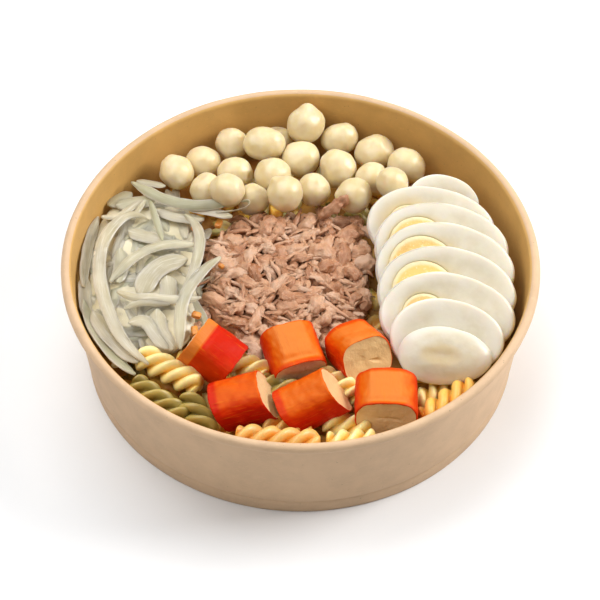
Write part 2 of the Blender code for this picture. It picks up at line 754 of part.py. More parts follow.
def make_salad():
    """The whole bowl, the fixed toppings before the heaps that are fitted to them."""
    make_bowl()
    bed = make_bed_core()
    make_pearls()
    make_egg()
    make_sticks()
    taken = taken_places()
    fuse(bed, make_spirals())
    make_onion(taken)
    make_tuna(taken)


SALAD, CUTTERS = start_scene()
make_salad()
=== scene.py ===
# %% [markdown]
# # Pasta salad in a brown paper bowl
# Pasta spirals in four colours fill a round takeaway bowl. On them lie mozzarella
# pearls, strips of raw onion, flakes of tuna, a sliced boiled egg and six pieces of
# crab stick. The CAD solids give every place and size. This lesson dresses them: each
# solid is replaced by a finer form of the same size, with a material made of nodes.

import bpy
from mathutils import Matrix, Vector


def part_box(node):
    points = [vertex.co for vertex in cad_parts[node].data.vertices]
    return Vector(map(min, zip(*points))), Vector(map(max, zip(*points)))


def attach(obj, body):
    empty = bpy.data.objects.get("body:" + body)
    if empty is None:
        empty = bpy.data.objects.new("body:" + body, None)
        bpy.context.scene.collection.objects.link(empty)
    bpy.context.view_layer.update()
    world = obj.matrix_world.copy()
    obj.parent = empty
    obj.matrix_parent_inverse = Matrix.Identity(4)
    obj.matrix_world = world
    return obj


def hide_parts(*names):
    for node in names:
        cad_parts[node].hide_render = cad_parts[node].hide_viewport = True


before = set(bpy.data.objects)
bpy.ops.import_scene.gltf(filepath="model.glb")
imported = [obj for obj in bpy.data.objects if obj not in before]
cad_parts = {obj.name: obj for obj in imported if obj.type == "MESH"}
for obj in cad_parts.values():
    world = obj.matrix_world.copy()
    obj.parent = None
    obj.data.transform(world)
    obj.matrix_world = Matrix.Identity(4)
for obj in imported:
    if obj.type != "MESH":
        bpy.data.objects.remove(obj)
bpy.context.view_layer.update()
print("CAD solids:", len(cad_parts))

# %% Bring in the modules of the lesson
import math
import random

import bpy
from mathutils import Matrix, Vector

MM = 0.001
print("Blender", bpy.app.version_string, "with a millimetre of", MM, "m")

# %% [markdown]
# ## Picking a piece
# Operators act on whatever is selected, and the frame arrives selected. So one small
# helper clears the selection first and then picks the pieces that the next step needs.


# %% A helper that picks pieces
def pick(*pieces):
    """Selects only these pieces; the last one is the active one."""
    if bpy.context.mode != "OBJECT":
        bpy.ops.object.mode_set(mode="OBJECT")
    bpy.ops.object.select_all(action="DESELECT")
    for piece in pieces:
        piece.select_set(True)
        bpy.context.view_layer.objects.active = piece


pick()
print("selected after loading:", len(bpy.context.selected_objects))

# %% [markdown]
# ## The camera
# The photograph looks down into the bowl from the front with a long lens. A camera is
# turned either by three angles or by its own axes. The axes are used here, because the
# bowl's rim in the photograph was fitted with them.

# %% Camera at the photograph's angle
VIEW_PLACE = Vector((0, -0.761235, 0.921899))
VIEW_RIGHT = Vector((0.999961, 0.006806, 0.005649))
VIEW_FORWARD = Vector((-0.0001, 0.647344, -0.762198))
view_up = VIEW_RIGHT.cross(VIEW_FORWARD)
bpy.ops.object.camera_add(location=VIEW_PLACE)
camera = bpy.context.object
camera.name = "photo_camera"
camera.rotation_euler = Matrix((VIEW_RIGHT, view_up, -VIEW_FORWARD)).transposed().to_euler()
camera.data.lens = 180
camera.data.sensor_width = 36
camera.data.clip_start = 0.01
bpy.context.scene.camera = camera
print("camera looks down by", round(math.degrees(math.asin(-VIEW_FORWARD.z))), "degrees")

# %% [markdown]
# ## Light
# The photograph is bright, and its shadow lies to the left of the bowl: the main light
# comes from the right, at about thirty degrees. Two large weak lamps, behind and on the
# left, lift the floor there as the photograph shows it. The surround adds very little.


# %% Lamps and the white surround
LIT_PLACE = Vector((0, 0, 0.03))


def hang_lamp(name, place, size, power):
    """A square lamp that looks at the middle of the bowl."""
    bpy.ops.object.light_add(type="AREA", location=place)
    lamp = bpy.context.object
    lamp.name = name
    lamp.data.size = size
    lamp.data.energy = power
    lamp.rotation_euler = (LIT_PLACE - Vector(place)).to_track_quat("-Z", "Y").to_euler()


hang_lamp("window_light", (0.885, 0.19, 0.625), 0.55, 12.2)
hang_lamp("back_fill", (-0.275, 0.476, 0.953), 1.0, 9.6)
hang_lamp("left_fill", (-0.476, -0.275, 0.953), 1.0, 7.0)
surround = bpy.data.worlds.new("white_surround")
surround.use_nodes = True
background = surround.node_tree.nodes["Background"]
background.inputs["Strength"].default_value = 0.03
background.inputs["Color"].default_value = (1, 1, 1, 1)
bpy.context.scene.world = surround
bpy.context.scene.view_settings.view_transform = "Standard"

# %% [markdown]
# ## Finishes made of nodes
# Food is never one flat colour. Each finish below starts with a Principled shader and
# gets colour and relief from noise. The noise reads the place on the object, or the
# piece's own grain, so that it stays put in every view. A few helpers keep that short.


# %% Helpers that make a finish
def new_finish(name, roughness, scatter=None, coat=None, others=()):
    """A material with a Principled shader, from fixed values.

    scatter says how much light spreads below the surface, how far in millimetres and in
    which colour; coat is the weight and the roughness of a clear coat.
    """
    finish = bpy.data.materials.new(name)
    finish.use_nodes = True
    values = {"Roughness": roughness, **dict(others)}
    if scatter:
        weight, reach, colour = scatter
        values |= {"Subsurface Weight": weight, "Subsurface Scale": reach * MM,
                   "Subsurface Radius": colour}
    if coat:
        values |= {"Coat Weight": coat[0], "Coat Roughness": coat[1]}
    for socket, value in values.items():
        finish.node_tree.nodes["Principled BSDF"].inputs[socket].default_value = value
    return finish


def add_node(finish, kind, inputs=(), **settings):
    """A node of the finish; an input is a plain value or another node's output."""
    node = finish.node_tree.nodes.new(kind)
    for setting, value in settings.items():
        setattr(node, setting, value)
    for socket, value in dict(inputs).items():
        if isinstance(value, bpy.types.NodeSocket):
            finish.node_tree.links.new(value, node.inputs[socket])
        else:
            node.inputs[socket].default_value = value
    return node


def plug(finish, socket, value):
    """Links an output to a socket of the finish's shader."""
    shader = finish.node_tree.nodes["Principled BSDF"]
    finish.node_tree.links.new(value, shader.inputs[socket])


print("a finish is built with new_finish, add_node and plug")

# %% [markdown]
# A pattern is a share from 0 to 1 at each place, and a ramp turns that share into
# colours. Shares come from noise, or from values that were noted in the mesh while a
# piece was shaped. Painted textures would need a map for every piece.


# %% Helpers for patterns
def own_value(finish, name, output="Fac"):
    """A value that the mesh itself carries, such as its grain."""
    node = add_node(finish, "ShaderNodeAttribute", attribute_name=name)
    return node.outputs[output]


def noise(finish, size, detail=3.0, stretch=(1, 1, 1), place=None, twist=0.0):
    """Noise with lumps of about this size in millimetres, drawn out along an axis by stretch.

    It reads the place on the object, or the given place, such as the piece's grain.
    """
    place = place or add_node(finish, "ShaderNodeTexCoord").outputs["Object"]
    scale = [1 / (size * MM * share) for share in stretch]
    spot = add_node(finish, "ShaderNodeMapping", {"Vector": place, "Scale": scale})
    inputs = {"Vector": spot.outputs[0], "Scale": 1.0, "Detail": detail, "Roughness": 0.55,
              "Distortion": twist}
    return add_node(finish, "ShaderNodeTexNoise", inputs).outputs[0]


def ramp(finish, share, stops):
    """Colours along a share from 0 to 1: stops are (place, colour)."""
    node = add_node(finish, "ShaderNodeValToRGB", {"Fac": share})
    elements = node.color_ramp.elements
    while len(elements) < len(stops):
        elements.new(1.0)
    for element, (place, colour) in zip(elements, stops):
        element.position = place
        element.color = (*colour, 1)
    return node.outputs["Color"]


def clouds(finish, size, deep, pale, detail=3.0):
    """Soft clouds of two colours, of about this size in millimetres."""
    return ramp(finish, noise(finish, size, detail), ((0.35, deep), (0.65, pale)))


print("patterns: noise, ramp and clouds")

# %% [markdown]
# Colours are laid over each other through masks, like thin coats of paint. Relief that is
# finer than the mesh is left to the shader, which only tilts the surface a little.


# %% Helpers for layers and fine relief
def mask(finish, share, low, high):
    """0 below low, 1 above high and soft between them."""
    inputs = {"Value": share, "From Min": low, "From Max": high}
    node = add_node(finish, "ShaderNodeMapRange", inputs, interpolation_type="SMOOTHSTEP")
    return node.outputs["Result"]


def mix(finish, share, first, second):
    """Goes from the first colour to the second one as share goes from 0 to 1."""
    inputs = {0: share}
    for number, colour in ((6, first), (7, second)):
        plain = not isinstance(colour, bpy.types.NodeSocket)
        inputs[number] = (*colour, 1) if plain else colour
    return add_node(finish, "ShaderNodeMix", inputs, data_type="RGBA").outputs[2]


def relief(finish, height, depth, under=None):
    """Plugs in small relief this many millimetres deep, on top of another if there is one."""
    inputs = {"Height": height, "Strength": 1.0, "Distance": depth * MM}
    if under is not None:
        inputs["Normal"] = under
    bump = add_node(finish, "ShaderNodeBump", inputs).outputs["Normal"]
    plug(finish, "Normal", bump)
    return bump


print("layers: mask, mix and relief")

# %% [markdown]
# ## Drawing a form up from a ring
# Most pieces here have one closed outline that changes on its way: the bowl's wall,
# a twisted pasta bar, a slice of egg, a piece of crab stick. Such a form could be
# turned or lofted. By hand it is quick to start with a filled circle, give it the
# outline, and then extrude its edge again and again, each time scaled and turned.


# %% The helper that draws a form up
def circle(count):
    """Points of a round outline with radius 1."""
    return [(math.cos(2 * math.pi * i / count), math.sin(2 * math.pi * i / count))
            for i in range(count)]


def name_new(name):
    """Names the piece that the last operator added."""
    piece = bpy.context.object
    piece.name = piece.data.name = name
    return piece


def draw_up(name, outline, rings, tube=False):
    """Extrudes an outline through rings of (z, half width, half depth, x, turn).

    Lengths are in millimetres, and x and turn may be left out. A tube has no caps: its
    last ring lies on its first one and is merged with it.
    """
    full = [(*ring, 0, 0)[:5] for ring in rings]
    rings = [(z * MM, wide * MM, deep * MM, x * MM, turn) for z, wide, deep, x, turn in full]
    pick()
    fill = "NOTHING" if tube else "NGON"
    bpy.ops.mesh.primitive_circle_add(vertices=len(outline), radius=1, fill_type=fill)
    piece = name_new(name)
    z, wide, deep, x, _ = rings[0]
    for vertex, (u, v) in zip(piece.data.vertices, outline):
        vertex.co = (x + u * wide, v * deep, z)
    bpy.ops.object.mode_set(mode="EDIT")
    bpy.ops.mesh.select_mode(type="EDGE")
    bpy.ops.mesh.select_all(action="SELECT")
    for before, (z, wide, deep, x, turn) in zip(rings, rings[1:]):
        step = {"value": (x - before[3], 0, z - before[0])}
        bpy.ops.mesh.extrude_edges_move(TRANSFORM_OT_translate=step)
        share = (wide / before[1], deep / before[2], 1)
        bpy.ops.transform.resize(value=share, center_override=(x, 0, z))
        if turn != before[4]:
            bpy.ops.transform.rotate(value=before[4] - turn, orient_axis="Z",
                                     center_override=(x, 0, z))
    if not tube:
        bpy.ops.mesh.edge_face_add()
    bpy.ops.mesh.select_all(action="SELECT")
    bpy.ops.mesh.remove_doubles(threshold=0.01 * MM)
    bpy.ops.mesh.normals_make_consistent(inside=False)
    bpy.ops.object.mode_set(mode="OBJECT")
    return piece


print("a ring of", len(circle(24)), "points is ready to draw up")

# %% [markdown]
# ## Small steps that many pieces share
# A piece is put in its place, softened by a subdivision and made a little uneven by a
# displacement. Then it is dressed: it gets its finish, rides on the CAD body and stands
# for its CAD solid. Its place is always applied, so that every finished object sits at
# the origin.


# %% Helpers for shaping and dressing
def settle(piece, place):
    """Moves a piece to its place and keeps the place in its mesh."""
    piece.matrix_world = place
    pick(piece)
    bpy.ops.object.transform_apply(location=True, rotation=True, scale=True)


def apply_modifiers(piece):
    """Makes what the modifiers show the real mesh."""
    pick(piece)
    for modifier in list(piece.modifiers):
        bpy.ops.object.modifier_apply(modifier=modifier.name)


def soften(piece, levels=1):
    """Rounds a piece by subdividing it."""
    modifier = piece.modifiers.new("Soften", "SUBSURF")
    modifier.levels = levels
    modifier.render_levels = levels


def ruffle(piece, size, height):
    """Lumps of this size and height in millimetres all over a piece."""
    texture = bpy.data.textures.new(piece.name + "_lumps", "CLOUDS")
    texture.noise_scale = size * MM
    modifier = piece.modifiers.new("Lumps", "DISPLACE")
    modifier.texture = texture
    modifier.texture_coords = "LOCAL"
    modifier.strength = height * MM
    modifier.mid_level = 0.5


def dress(piece, finishes, slot, *nodes):
    """Gives a piece its finish and ties it to the CAD frame."""
    for finish in finishes:
        piece.data.materials.append(finish)
    pick(piece)
    bpy.ops.object.shade_smooth()
    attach(piece, "root")
    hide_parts(*nodes)
    print(f"{piece.name}: {len(piece.data.polygons)} faces")


print("a piece is settled, softened, ruffled and dressed")

# %% [markdown]
# ## The floor
# The bowl stands on a plain pale tabletop. A large subdivided plane is enough, with a
# faint unevenness in its colour, as a painted board has.

# %% Pale floor
bpy.ops.mesh.primitive_grid_add(x_subdivisions=8, y_subdivisions=8, size=6, location=(0, 0, 0))
floor = bpy.context.object
floor.name = "pale_floor"
painted = new_finish("pale_board", 0.75)
plug(painted, "Base Color", ramp(painted, noise(painted, 50), (
    (0.3, (0.885, 0.89, 0.895)), (0.7, (0.905, 0.91, 0.915)))))
floor.data.materials.append(painted)
print("floor is", round(floor.dimensions.x), "m wide")

# %% [markdown]
# ## The paper bowl
# The real bowl is brown paper with a clear coat inside. Its wall flares a little, its
# edge is rolled outwards, and its floor is set up inside a folded foot. A wall that thin
# could be a plane with a Solidify modifier. Drawing the whole section with both faces
# gives the roll, the lip below it and the foot in one go.

# %% Section of the bowl, from the middle of the floor round to its underside
RIM_RADIUS = 92.5
RIM_HEIGHT = 50
ROLL_RADIUS = 2
ROLL_START, ROLL_SWEEP, ROLL_STEPS = 180, 305, 18
WALL_STEPS = 14


def wall_points(start, finish):
    """Points up or down one side of the wall, as (radius, height), without the first."""
    shares = [step / WALL_STEPS for step in range(1, WALL_STEPS + 1)]
    return [tuple(a + (b - a) * share for a, b in zip(start, finish)) for share in shares]


section = [(0.5, 4.8), (20, 4.8), (42, 4.8), (62, 4.8), (76, 4.8), (82.4, 4.8), (83.3, 5.0),
           (83.8, 5.4), (84.1, 6.2)]
section += wall_points((84.1, 6.2), (88.45, 47.4))
for step in range(ROLL_STEPS + 1):
    angle = math.radians(ROLL_START - ROLL_SWEEP * step / ROLL_STEPS)
    section.append((RIM_RADIUS - ROLL_RADIUS + ROLL_RADIUS * math.cos(angle),
                    RIM_HEIGHT - ROLL_RADIUS + ROLL_RADIUS * math.sin(angle)))
section += [(89.0, 46.3), (88.95, 45.6)]
section += wall_points((88.95, 45.6), (84.85, 8.0))
section += [(84.6, 7.4), (84.3, 7.1), (84.35, 6.6), (84.5, 6.3), (84.4, 4), (84.25, 1.4),
            (84.1, 0.5), (83.8, 0.1), (83.4, 0), (82.9, 0.1), (82.7, 0.5), (82.6, 3.3),
            (82.2, 3.9), (81.5, 4.0), (60, 4.0), (30, 4.0), (0.5, 4.0)]
print("points in the section:", len(section))

# %% [markdown]
# The sheet of the wall is glued where its ends overlap, behind and a little to the left.
# The seam stands out by less than half a millimetre. A solid strip could be laid on, but
# moving a narrow strip of the outer wall outwards keeps the bowl one closed shell.

# %% Draw the bowl up and give it its glued seam
SEAM_ANGLE = math.radians(104)
SEAM_HALF = math.radians(2.4)
SEAM_STEP = 0.4
bowl = draw_up("paper_bowl", circle(240), [(z, r, r) for r, z in section])
for vertex in bowl.data.vertices:
    x, y, z = vertex.co / MM
    radius = math.hypot(x, y)
    wall_middle = 84.2 + 4.6 * z / RIM_HEIGHT
    outer = radius > wall_middle and 2 < z < 46
    if outer and abs(math.atan2(y, x) - SEAM_ANGLE) < SEAM_HALF:
        vertex.co += Vector((x, y, 0)) * (SEAM_STEP / radius * MM)
ruffle(bowl, 30, 0.35)
apply_modifiers(bowl)
print("bowl is", [round(side / MM, 1) for side in bowl.dimensions], "mm")

# %% [markdown]
# Brown paper shows short fibres, a few dark specks and soft clouds of lighter pulp. The
# coat on the inside makes it deeper and a little glossy, and its deeper orange tint also
# holds painted bounce light from the paper walls. Both are one recipe with other numbers,
# and each face takes the one for its side of the wall.


# %% Paper finish, outside and inside
def paper_finish(name, tint, roughness, coat):
    """Brown paper from pulp clouds, fine fibres and specks."""
    finish = new_finish(name, roughness, None, (coat, 0.35), {"Specular IOR Level": 0.35})
    fibres = noise(finish, 0.9, detail=2, stretch=(2.2, 2.2, 0.5))
    specks = noise(finish, 1.1, detail=1)
    light = [min(1, channel * 1.045) for channel in tint]
    deep = [channel * 0.945 for channel in tint]
    speck = [channel * 0.62 for channel in tint]
    colour = clouds(finish, 9, deep, light, 4)
    colour = mix(finish, mask(finish, fibres, 0.56, 0.70), colour, light)
    colour = mix(finish, mask(finish, specks, 0.75, 0.80), colour, speck)
    plug(finish, "Base Color", colour)
    relief(finish, fibres, 0.05)
    return finish


paper_outside = paper_finish("brown_paper", (0.64, 0.435, 0.265), 0.62, 0.0)
# Inside tint: the coat's deeper colour plus painted bounce light from the paper walls.
paper_inside_with_bounce = paper_finish("coated_paper_with_bounce", (0.66, 0.385, 0.12), 0.48, 0.10)
COATED_RADIUS = 89.2
COATED_HEIGHT = 4.4
for face in bowl.data.polygons:
    x, y, z = face.center / MM
    inward = face.normal.x * x + face.normal.y * y < 0
    inside = math.hypot(x, y) < COATED_RADIUS and z > COATED_HEIGHT
    face.material_index = 1 if inside and (inward or face.normal.z > 0.5) else 0
dress(bowl, (paper_outside, paper_inside_with_bounce), "paper", "bowl")

# %% [markdown]
# ## The pasta below
# Under the toppings the bowl is full of pasta. Only the gaps show it, so a plain core,
# painted dark brown as painted shade, fills the depth and real spirals lie on top of it.
# Their tops end where the CAD bed ends, a low roof with its ridge behind the middle.


# %% Height of the bed, and the core in its depth
RIDGE_PLACE, RIDGE_HEIGHT = 42, 31
FRONT_SLOPE, BACK_SLOPE = 0.0234, -0.158
CORE_FLOOR = 5


def bed_height(y):
    """Height of the pasta's top at a place from front to back, in millimetres."""
    return RIDGE_HEIGHT + min(slope * (y - RIDGE_PLACE) for slope in (FRONT_SLOPE, BACK_SLOPE))


CORE_RINGS = ((5.2, 1), (5.2, 60), (5.4, 82.6), (12, 83.4), (20, 84.2), (22, 80), (22.6, 60),
              (23, 35), (23.2, 12), (23.2, 1))
pasta_core = draw_up("pasta_core", circle(72), [(z, r, r) for z, r in CORE_RINGS])
soften(pasta_core)
ruffle(pasta_core, 9, 2.2)
apply_modifiers(pasta_core)
for vertex in pasta_core.data.vertices:
    vertex.co.z = max(vertex.co.z, CORE_FLOOR * MM)
print("core is", round(pasta_core.dimensions.z / MM, 1), "mm deep")

# %% [markdown]
# ## A pasta spiral
# A spiral is a bar with three fins that is twisted as it leaves the die, one turn in
# about 17 mm, like a left-handed screw. The outline is a circle whose radius swings in
# and out three times. It is drawn up in short steps, each one turned a little further.
# The mesh also notes how far out each point lies, so that the grooves can be painted
# deeper in colour than the fins, as painted shade.

# %% Outline and form of one spiral
FIN_RADIUS = 5.8
GROOVE_RADIUS = 1.9
SPIRAL_TURN = 17
END_SIZES = (0.66, 0.88, 0.97, 1.0)


def note(piece, name, values):
    """Writes a number for each vertex into the mesh, or one for all, for its finish to read."""
    if not isinstance(values, list):
        values = [values] * len(piece.data.vertices)
    attribute = piece.data.attributes.new(name, "FLOAT", "POINT")
    attribute.data.foreach_set("value", values)


def fin_outline(count, narrow):
    """A round outline with three fins, in millimetres; narrow fins have wide grooves."""
    points = []
    for i in range(count):
        angle = 2 * math.pi * i / count
        swell = abs(math.cos(1.5 * angle)) ** narrow
        radius = GROOVE_RADIUS + (FIN_RADIUS - GROOVE_RADIUS) * swell
        points.append((radius * math.cos(angle), radius * math.sin(angle)))
    return points


def spiral(name, length, count, step, narrow=0.8, turn=SPIRAL_TURN):
    """A twisted bar of pasta along Z with its fins noted; step is how far rings are apart."""
    steps = round(length / step)
    rings = []
    for i in range(steps + 1):
        z = (i / steps - 0.5) * length
        size = END_SIZES[min(i, steps - i, 3)]
        rings.append((z, size, size, 0, -2 * math.pi * z / turn))
    piece = draw_up(name, fin_outline(count, narrow), rings)
    note(piece, "fin_light_share", [math.hypot(v.co.x, v.co.y) / (FIN_RADIUS * MM) for v in piece.data.vertices])
    return piece


print("fins reach", FIN_RADIUS, "mm and grooves", GROOVE_RADIUS, "mm from the middle")

# %% [markdown]
# The photograph shows some spirals between the crab sticks and along the rim. These are
# placed one by one: colour, both ends as x, y and the height of the bar over the bed, a
# start angle that brings the fins where they show, how narrow the fins are, and the
# length of a turn. No two are quite alike, because cooked pasta stretches.

# %% Spirals that show, placed one by one
SHOWN_SPIRALS = (
    ("yellow", (-61.5, -36, 5.6), (-37.8, -52.3, 7.4), 0.3, 0.6, 18.5),
    ("green", (-63.5, -49.2, 4.8), (-43, -67.2, 5.2), 1.2, 1.25, 19),
    ("green", (-42.8, -56, 5.4), (-34, -74, 5.8), 0.2, 1.0, 19),
    ("peach", (-24, -77.2, 8.8), (8, -80, 8.8), 0.6, 0.8, 21),
    ("yellow", (10, -79.2, 7.6), (29, -76.8, 6.4), 1.0, 1.2, 17),
    ("orange", (46.5, -65.5, 5.4), (66, -49.2, 5.2), 0.5, 0.45, 20),
    ("yellow", (44, -54.5, -1), (63, -40, -1.5), 0.7, 0.7, 16),
    ("yellow", (6, -45.5, 6.2), (23, -54.5, 5.6), 0.2, 0.9, 16),
    ("green", (-15, -50, 6.6), (2, -56, 6.2), 0.8, 1.4, 18),
    ("yellow", (-27, -38.5, 5.6), (-12, -46, 6.2), 0.0, 1.1, 16),
    ("peach", (-14, -69.5, 4.6), (5, -71.5, 4.6), 0.4, 0.8, 17),
    ("yellow", (9, -66, 4.2), (27, -70, 3.8), 1.2, 0.8, 17),
    ("orange", (-52, -41, 0.5), (-38, -33, 0.5), 0.0, 0.8, 17),
)
by_colour = {"yellow": [], "green": [], "peach": [], "orange": []}


def lay_between(piece, start, finish, turn):
    """Lays a piece that was drawn up along Z between two points given in metres."""
    heading = (finish - start).to_track_quat("Z", "Y").to_matrix().to_4x4()
    place = Matrix.Translation((start + finish) / 2) @ heading
    settle(piece, place @ Matrix.Rotation(turn, 4, "Z"))


def over_bed(x, y, lift):
    """A point over the bed, from millimetres to metres."""
    return Vector((x, y, bed_height(y) + lift)) * MM


for number, (colour, start, finish, angle, narrow, turn) in enumerate(SHOWN_SPIRALS, 1):
    start, finish = over_bed(*start), over_bed(*finish)
    piece = spiral(f"shown_spiral_{number}", (finish - start).length / MM, 30, 1.0, narrow, turn)
    lay_between(piece, start, finish, angle)
    soften(piece)
    ruffle(piece, 7, 0.5)
    apply_modifiers(piece)
    by_colour[colour].append(piece)
print("spirals placed by hand:", len(SHOWN_SPIRALS))

# %% [markdown]
# The rest of the bed is filled by a rule. Places are drawn at random, and a place counts
# only if its spiral keeps a little way from those that lie there already and from the
# wall. The seed is fixed, so the bed is the same each time.

# %% Spirals that fill the bed
def copy_of(piece, name):
    """A copy with a mesh of its own."""
    twin = piece.copy()
    twin.data = piece.data.copy()
    twin.name = twin.data.name = name
    bpy.context.scene.collection.objects.link(twin)
    return twin


FILL_LENGTH = 27
FILL_TRIES = 4000
FILL_GAP = 8.2
FILL_REACH = 74
FILL_WALL = 80
FILL_DEPTH = 5.9
FILL_SEED = 11
FILL_COLOURS = ("yellow", "green", "yellow", "orange", "peach")
draw = random.Random(FILL_SEED)
plain_spiral = spiral("plain_spiral", FILL_LENGTH, 12, 1.5)
placed = []
for _ in range(FILL_TRIES):
    heading = draw.uniform(0, math.pi)
    reach = FILL_REACH * math.sqrt(draw.random())
    bearing = draw.uniform(0, 2 * math.pi)
    x, y = reach * math.cos(bearing), reach * math.sin(bearing)
    half = Vector((math.cos(heading), math.sin(heading), 0)) * (FILL_LENGTH / 2)
    middle = Vector((x, y, bed_height(y) - FILL_DEPTH - draw.uniform(0, 1.6)))
    samples = [middle + half * share for share in (-1, -0.5, 0, 0.5, 1)]
    if max(math.hypot(p.x, p.y) for p in samples) > FILL_WALL:
        continue
    if any((p - q).length < FILL_GAP for other in placed for p in samples for q in other):
        continue
    placed.append(samples)
for number, samples in enumerate(placed):
    piece = copy_of(plain_spiral, f"fill_spiral_{number}")
    start, finish = samples[0], samples[-1]
    finish.z = min(finish.z + draw.uniform(-2, 0.5), bed_height(finish.y) - FIN_RADIUS)
    lay_between(piece, start * MM, finish * MM, draw.uniform(0, 2))
    by_colour[FILL_COLOURS[number % len(FILL_COLOURS)]].append(piece)
bpy.data.objects.remove(plain_spiral)
print("spirals that fill the bed:", len(placed))

# %% [markdown]
# Cooked pasta is slightly see-through, so light spreads below its surface. Plain wheat
# pasta is yellow, spinach makes it green, and tomato makes it orange or peach. The
# grooves are painted deeper in colour than the fins, as painted shade, and the die
# leaves the surface finely rough.


# %% Pasta finish in four colours
def join_all(name, pieces):
    """One object of many pieces."""
    pick(*pieces)
    bpy.ops.object.join()
    joined = bpy.context.object
    joined.name = joined.data.name = name
    settle(joined, joined.matrix_world.copy())
    return joined


def pasta_finish(name, pale, deep):
    """Cooked pasta, with the grooves painted deeper in colour than the fins, as painted shade."""
    finish = new_finish(name, 0.42, (0.35, 2.2, (1.0, 0.6, 0.2)), (0.12, 0.3))
    # Painted shade: deeper colour in the grooves, paler colour on the fins.
    fin_light_share = mask(finish, own_value(finish, "fin_light_share"), 0.45, 1.0)
    cloud = noise(finish, 5)
    colour = mix(finish, fin_light_share, deep, pale)
    dull = [channel * 0.86 for channel in pale]
    colour = mix(finish, mask(finish, cloud, 0.45, 0.75), colour, dull)
    plug(finish, "Base Color", colour)
    relief(finish, noise(finish, 0.5, detail=2), 0.06)
    return finish


# Each colour is (fin, groove); the groove colour is painted shade.
PASTA_COLOURS = {
    "yellow": ((0.96, 0.78, 0.34), (0.90, 0.54, 0.08)),
    "green": ((0.44, 0.33, 0.085), (0.19, 0.13, 0.016)),
    "peach": ((0.78, 0.46, 0.13), (0.72, 0.28, 0.02)),
    "orange": ((0.88, 0.54, 0.11), (0.80, 0.32, 0.02)),
}
for colour, (pale, deep) in PASTA_COLOURS.items():
    heap = join_all("pasta_" + colour, by_colour[colour])
    dress(heap, [pasta_finish("pasta_" + colour, pale, deep)], "pasta", "pasta_bed")
# The core's dark brown is painted shade in the depth of the bed.
depth_shade_finish = new_finish("pasta_depth_shade", 0.6)
plug(depth_shade_finish, "Base Color",
     clouds(depth_shade_finish, 8, (0.30, 0.11, 0.012), (0.58, 0.29, 0.035)))
dress(pasta_core, [depth_shade_finish], "pasta", "pasta_bed")

# %% [markdown]
# ## Mozzarella pearls
# Small balls of fresh cheese, each a bit longer one way and never quite round. A sphere
# primitive has poles that show in soft light, so a subdivided cube is rounded instead.
# Each ball goes to the middle of its CAD solid. A dent or a corner is pressed into each
# where the photograph shows one: which ball, the bearing, how far toward the viewer, the
# push and its reach. Lumps fixed to the place add the rest. A row of the first list holds
# a ball's radius, how much longer it is one way, and which way that is in degrees.

# %% Sizes of the pearls, and their dents
PEARLS = ((7.2, 1.04, 100), (6.9, 1.03, 0), (6.7, 1.03, 20), (7.4, 1.14, -5), (6.6, 1.0, 0),
          (7.6, 1.06, 40), (7.1, 1.1, 20), (7.5, 1.1, 15), (7.3, 1.05, -20), (6.6, 1.0, 0),
          (6.9, 1.03, 10), (6.9, 1.08, -10), (7.2, 1.05, -30), (7.3, 1.02, 0), (7.7, 1.02, 60),
          (6.9, 1.03, 0), (6.4, 1.0, 0), (6.5, 1.0, 0), (7.3, 1.03, 80), (6.8, 1.02, 0),
          (6.9, 1.04, 90))
PEARL_DENTS = (
    (1, 130, 0.3, -0.9, 6), (1, 60, 0.3, -0.7, 6), (3, 200, 0.4, -0.8, 5), (4, -60, 0.4, -0.8, 6),
    (5, 100, 0.5, -0.8, 5), (6, 45, 0.1, 1.0, 4.5), (7, 90, 0.3, -1.2, 6), (8, 20, 0.6, -0.8, 5),
    (9, -30, 0.1, 1.0, 4.5), (10, 120, 0.5, -0.8, 5), (11, 60, 0.6, -0.9, 5), (12, 0, 0.6, -1.2, 2.6),
    (13, 180, 0.5, -0.8, 6), (14, 80, 0.7, -0.7, 6), (15, 140, 0.3, -1.3, 6.5), (16, 20, 0.5, -0.9, 5),
    (17, 200, 0.5, -0.8, 5), (18, 60, 0.4, -0.8, 5), (19, 50, 0.1, 1.2, 4), (20, 150, 0.6, -0.9, 5),
    (21, 90, 0.1, 1.0, 4),
)
print("pearls:", len(PEARLS), "and dents or corners:", len(PEARL_DENTS))

# %% [markdown]
# Pressing works like a thumb: every point near a line is moved, most right at the line and
# less and less towards the end of its reach. A sculpting brush does the same by hand, but
# a rule can be used again for the egg and the crab sticks.


# %% Helpers that press and round
PEARL_CUTS = 9


def clamp(value):
    """The value, kept from 0 to 1."""
    return min(1, max(0, value))


def press(piece, start, finish, reach, push):
    """Moves the surface near a line from start to finish, most right at the line."""
    start, finish, push = [Vector(value) * MM for value in (start, finish, push)]
    along = finish - start
    for vertex in piece.data.vertices:
        share = clamp((vertex.co - start).dot(along) / along.length_squared)
        away = (vertex.co - start - along * share).length / (reach * MM)
        if away < 1:
            vertex.co += push * (1 - away ** 2) ** 2


def round_pearl(name, radius):
    """A cube rounded to a ball, without poles."""
    pick()
    bpy.ops.mesh.primitive_cube_add(size=2 * radius)
    ball = name_new(name)
    bpy.ops.object.mode_set(mode="EDIT")
    bpy.ops.mesh.select_all(action="SELECT")
    bpy.ops.mesh.subdivide(number_cuts=PEARL_CUTS)
    bpy.ops.transform.tosphere(value=1)
    bpy.ops.object.mode_set(mode="OBJECT")
    largest = max(vertex.co.length for vertex in ball.data.vertices)
    for vertex in ball.data.vertices:
        vertex.co *= radius / largest
    return ball


print("faces on a ball before it is softened:", 6 * (PEARL_CUTS + 1) ** 2)

# %% [markdown]
# Fresh cheese is moist and lets light spread far below its surface, which makes it look
# soft. Its colour hardly changes. Each ball is pressed, leaned and sized, and the last
# lumps are added in its place, so that no two balls are alike.

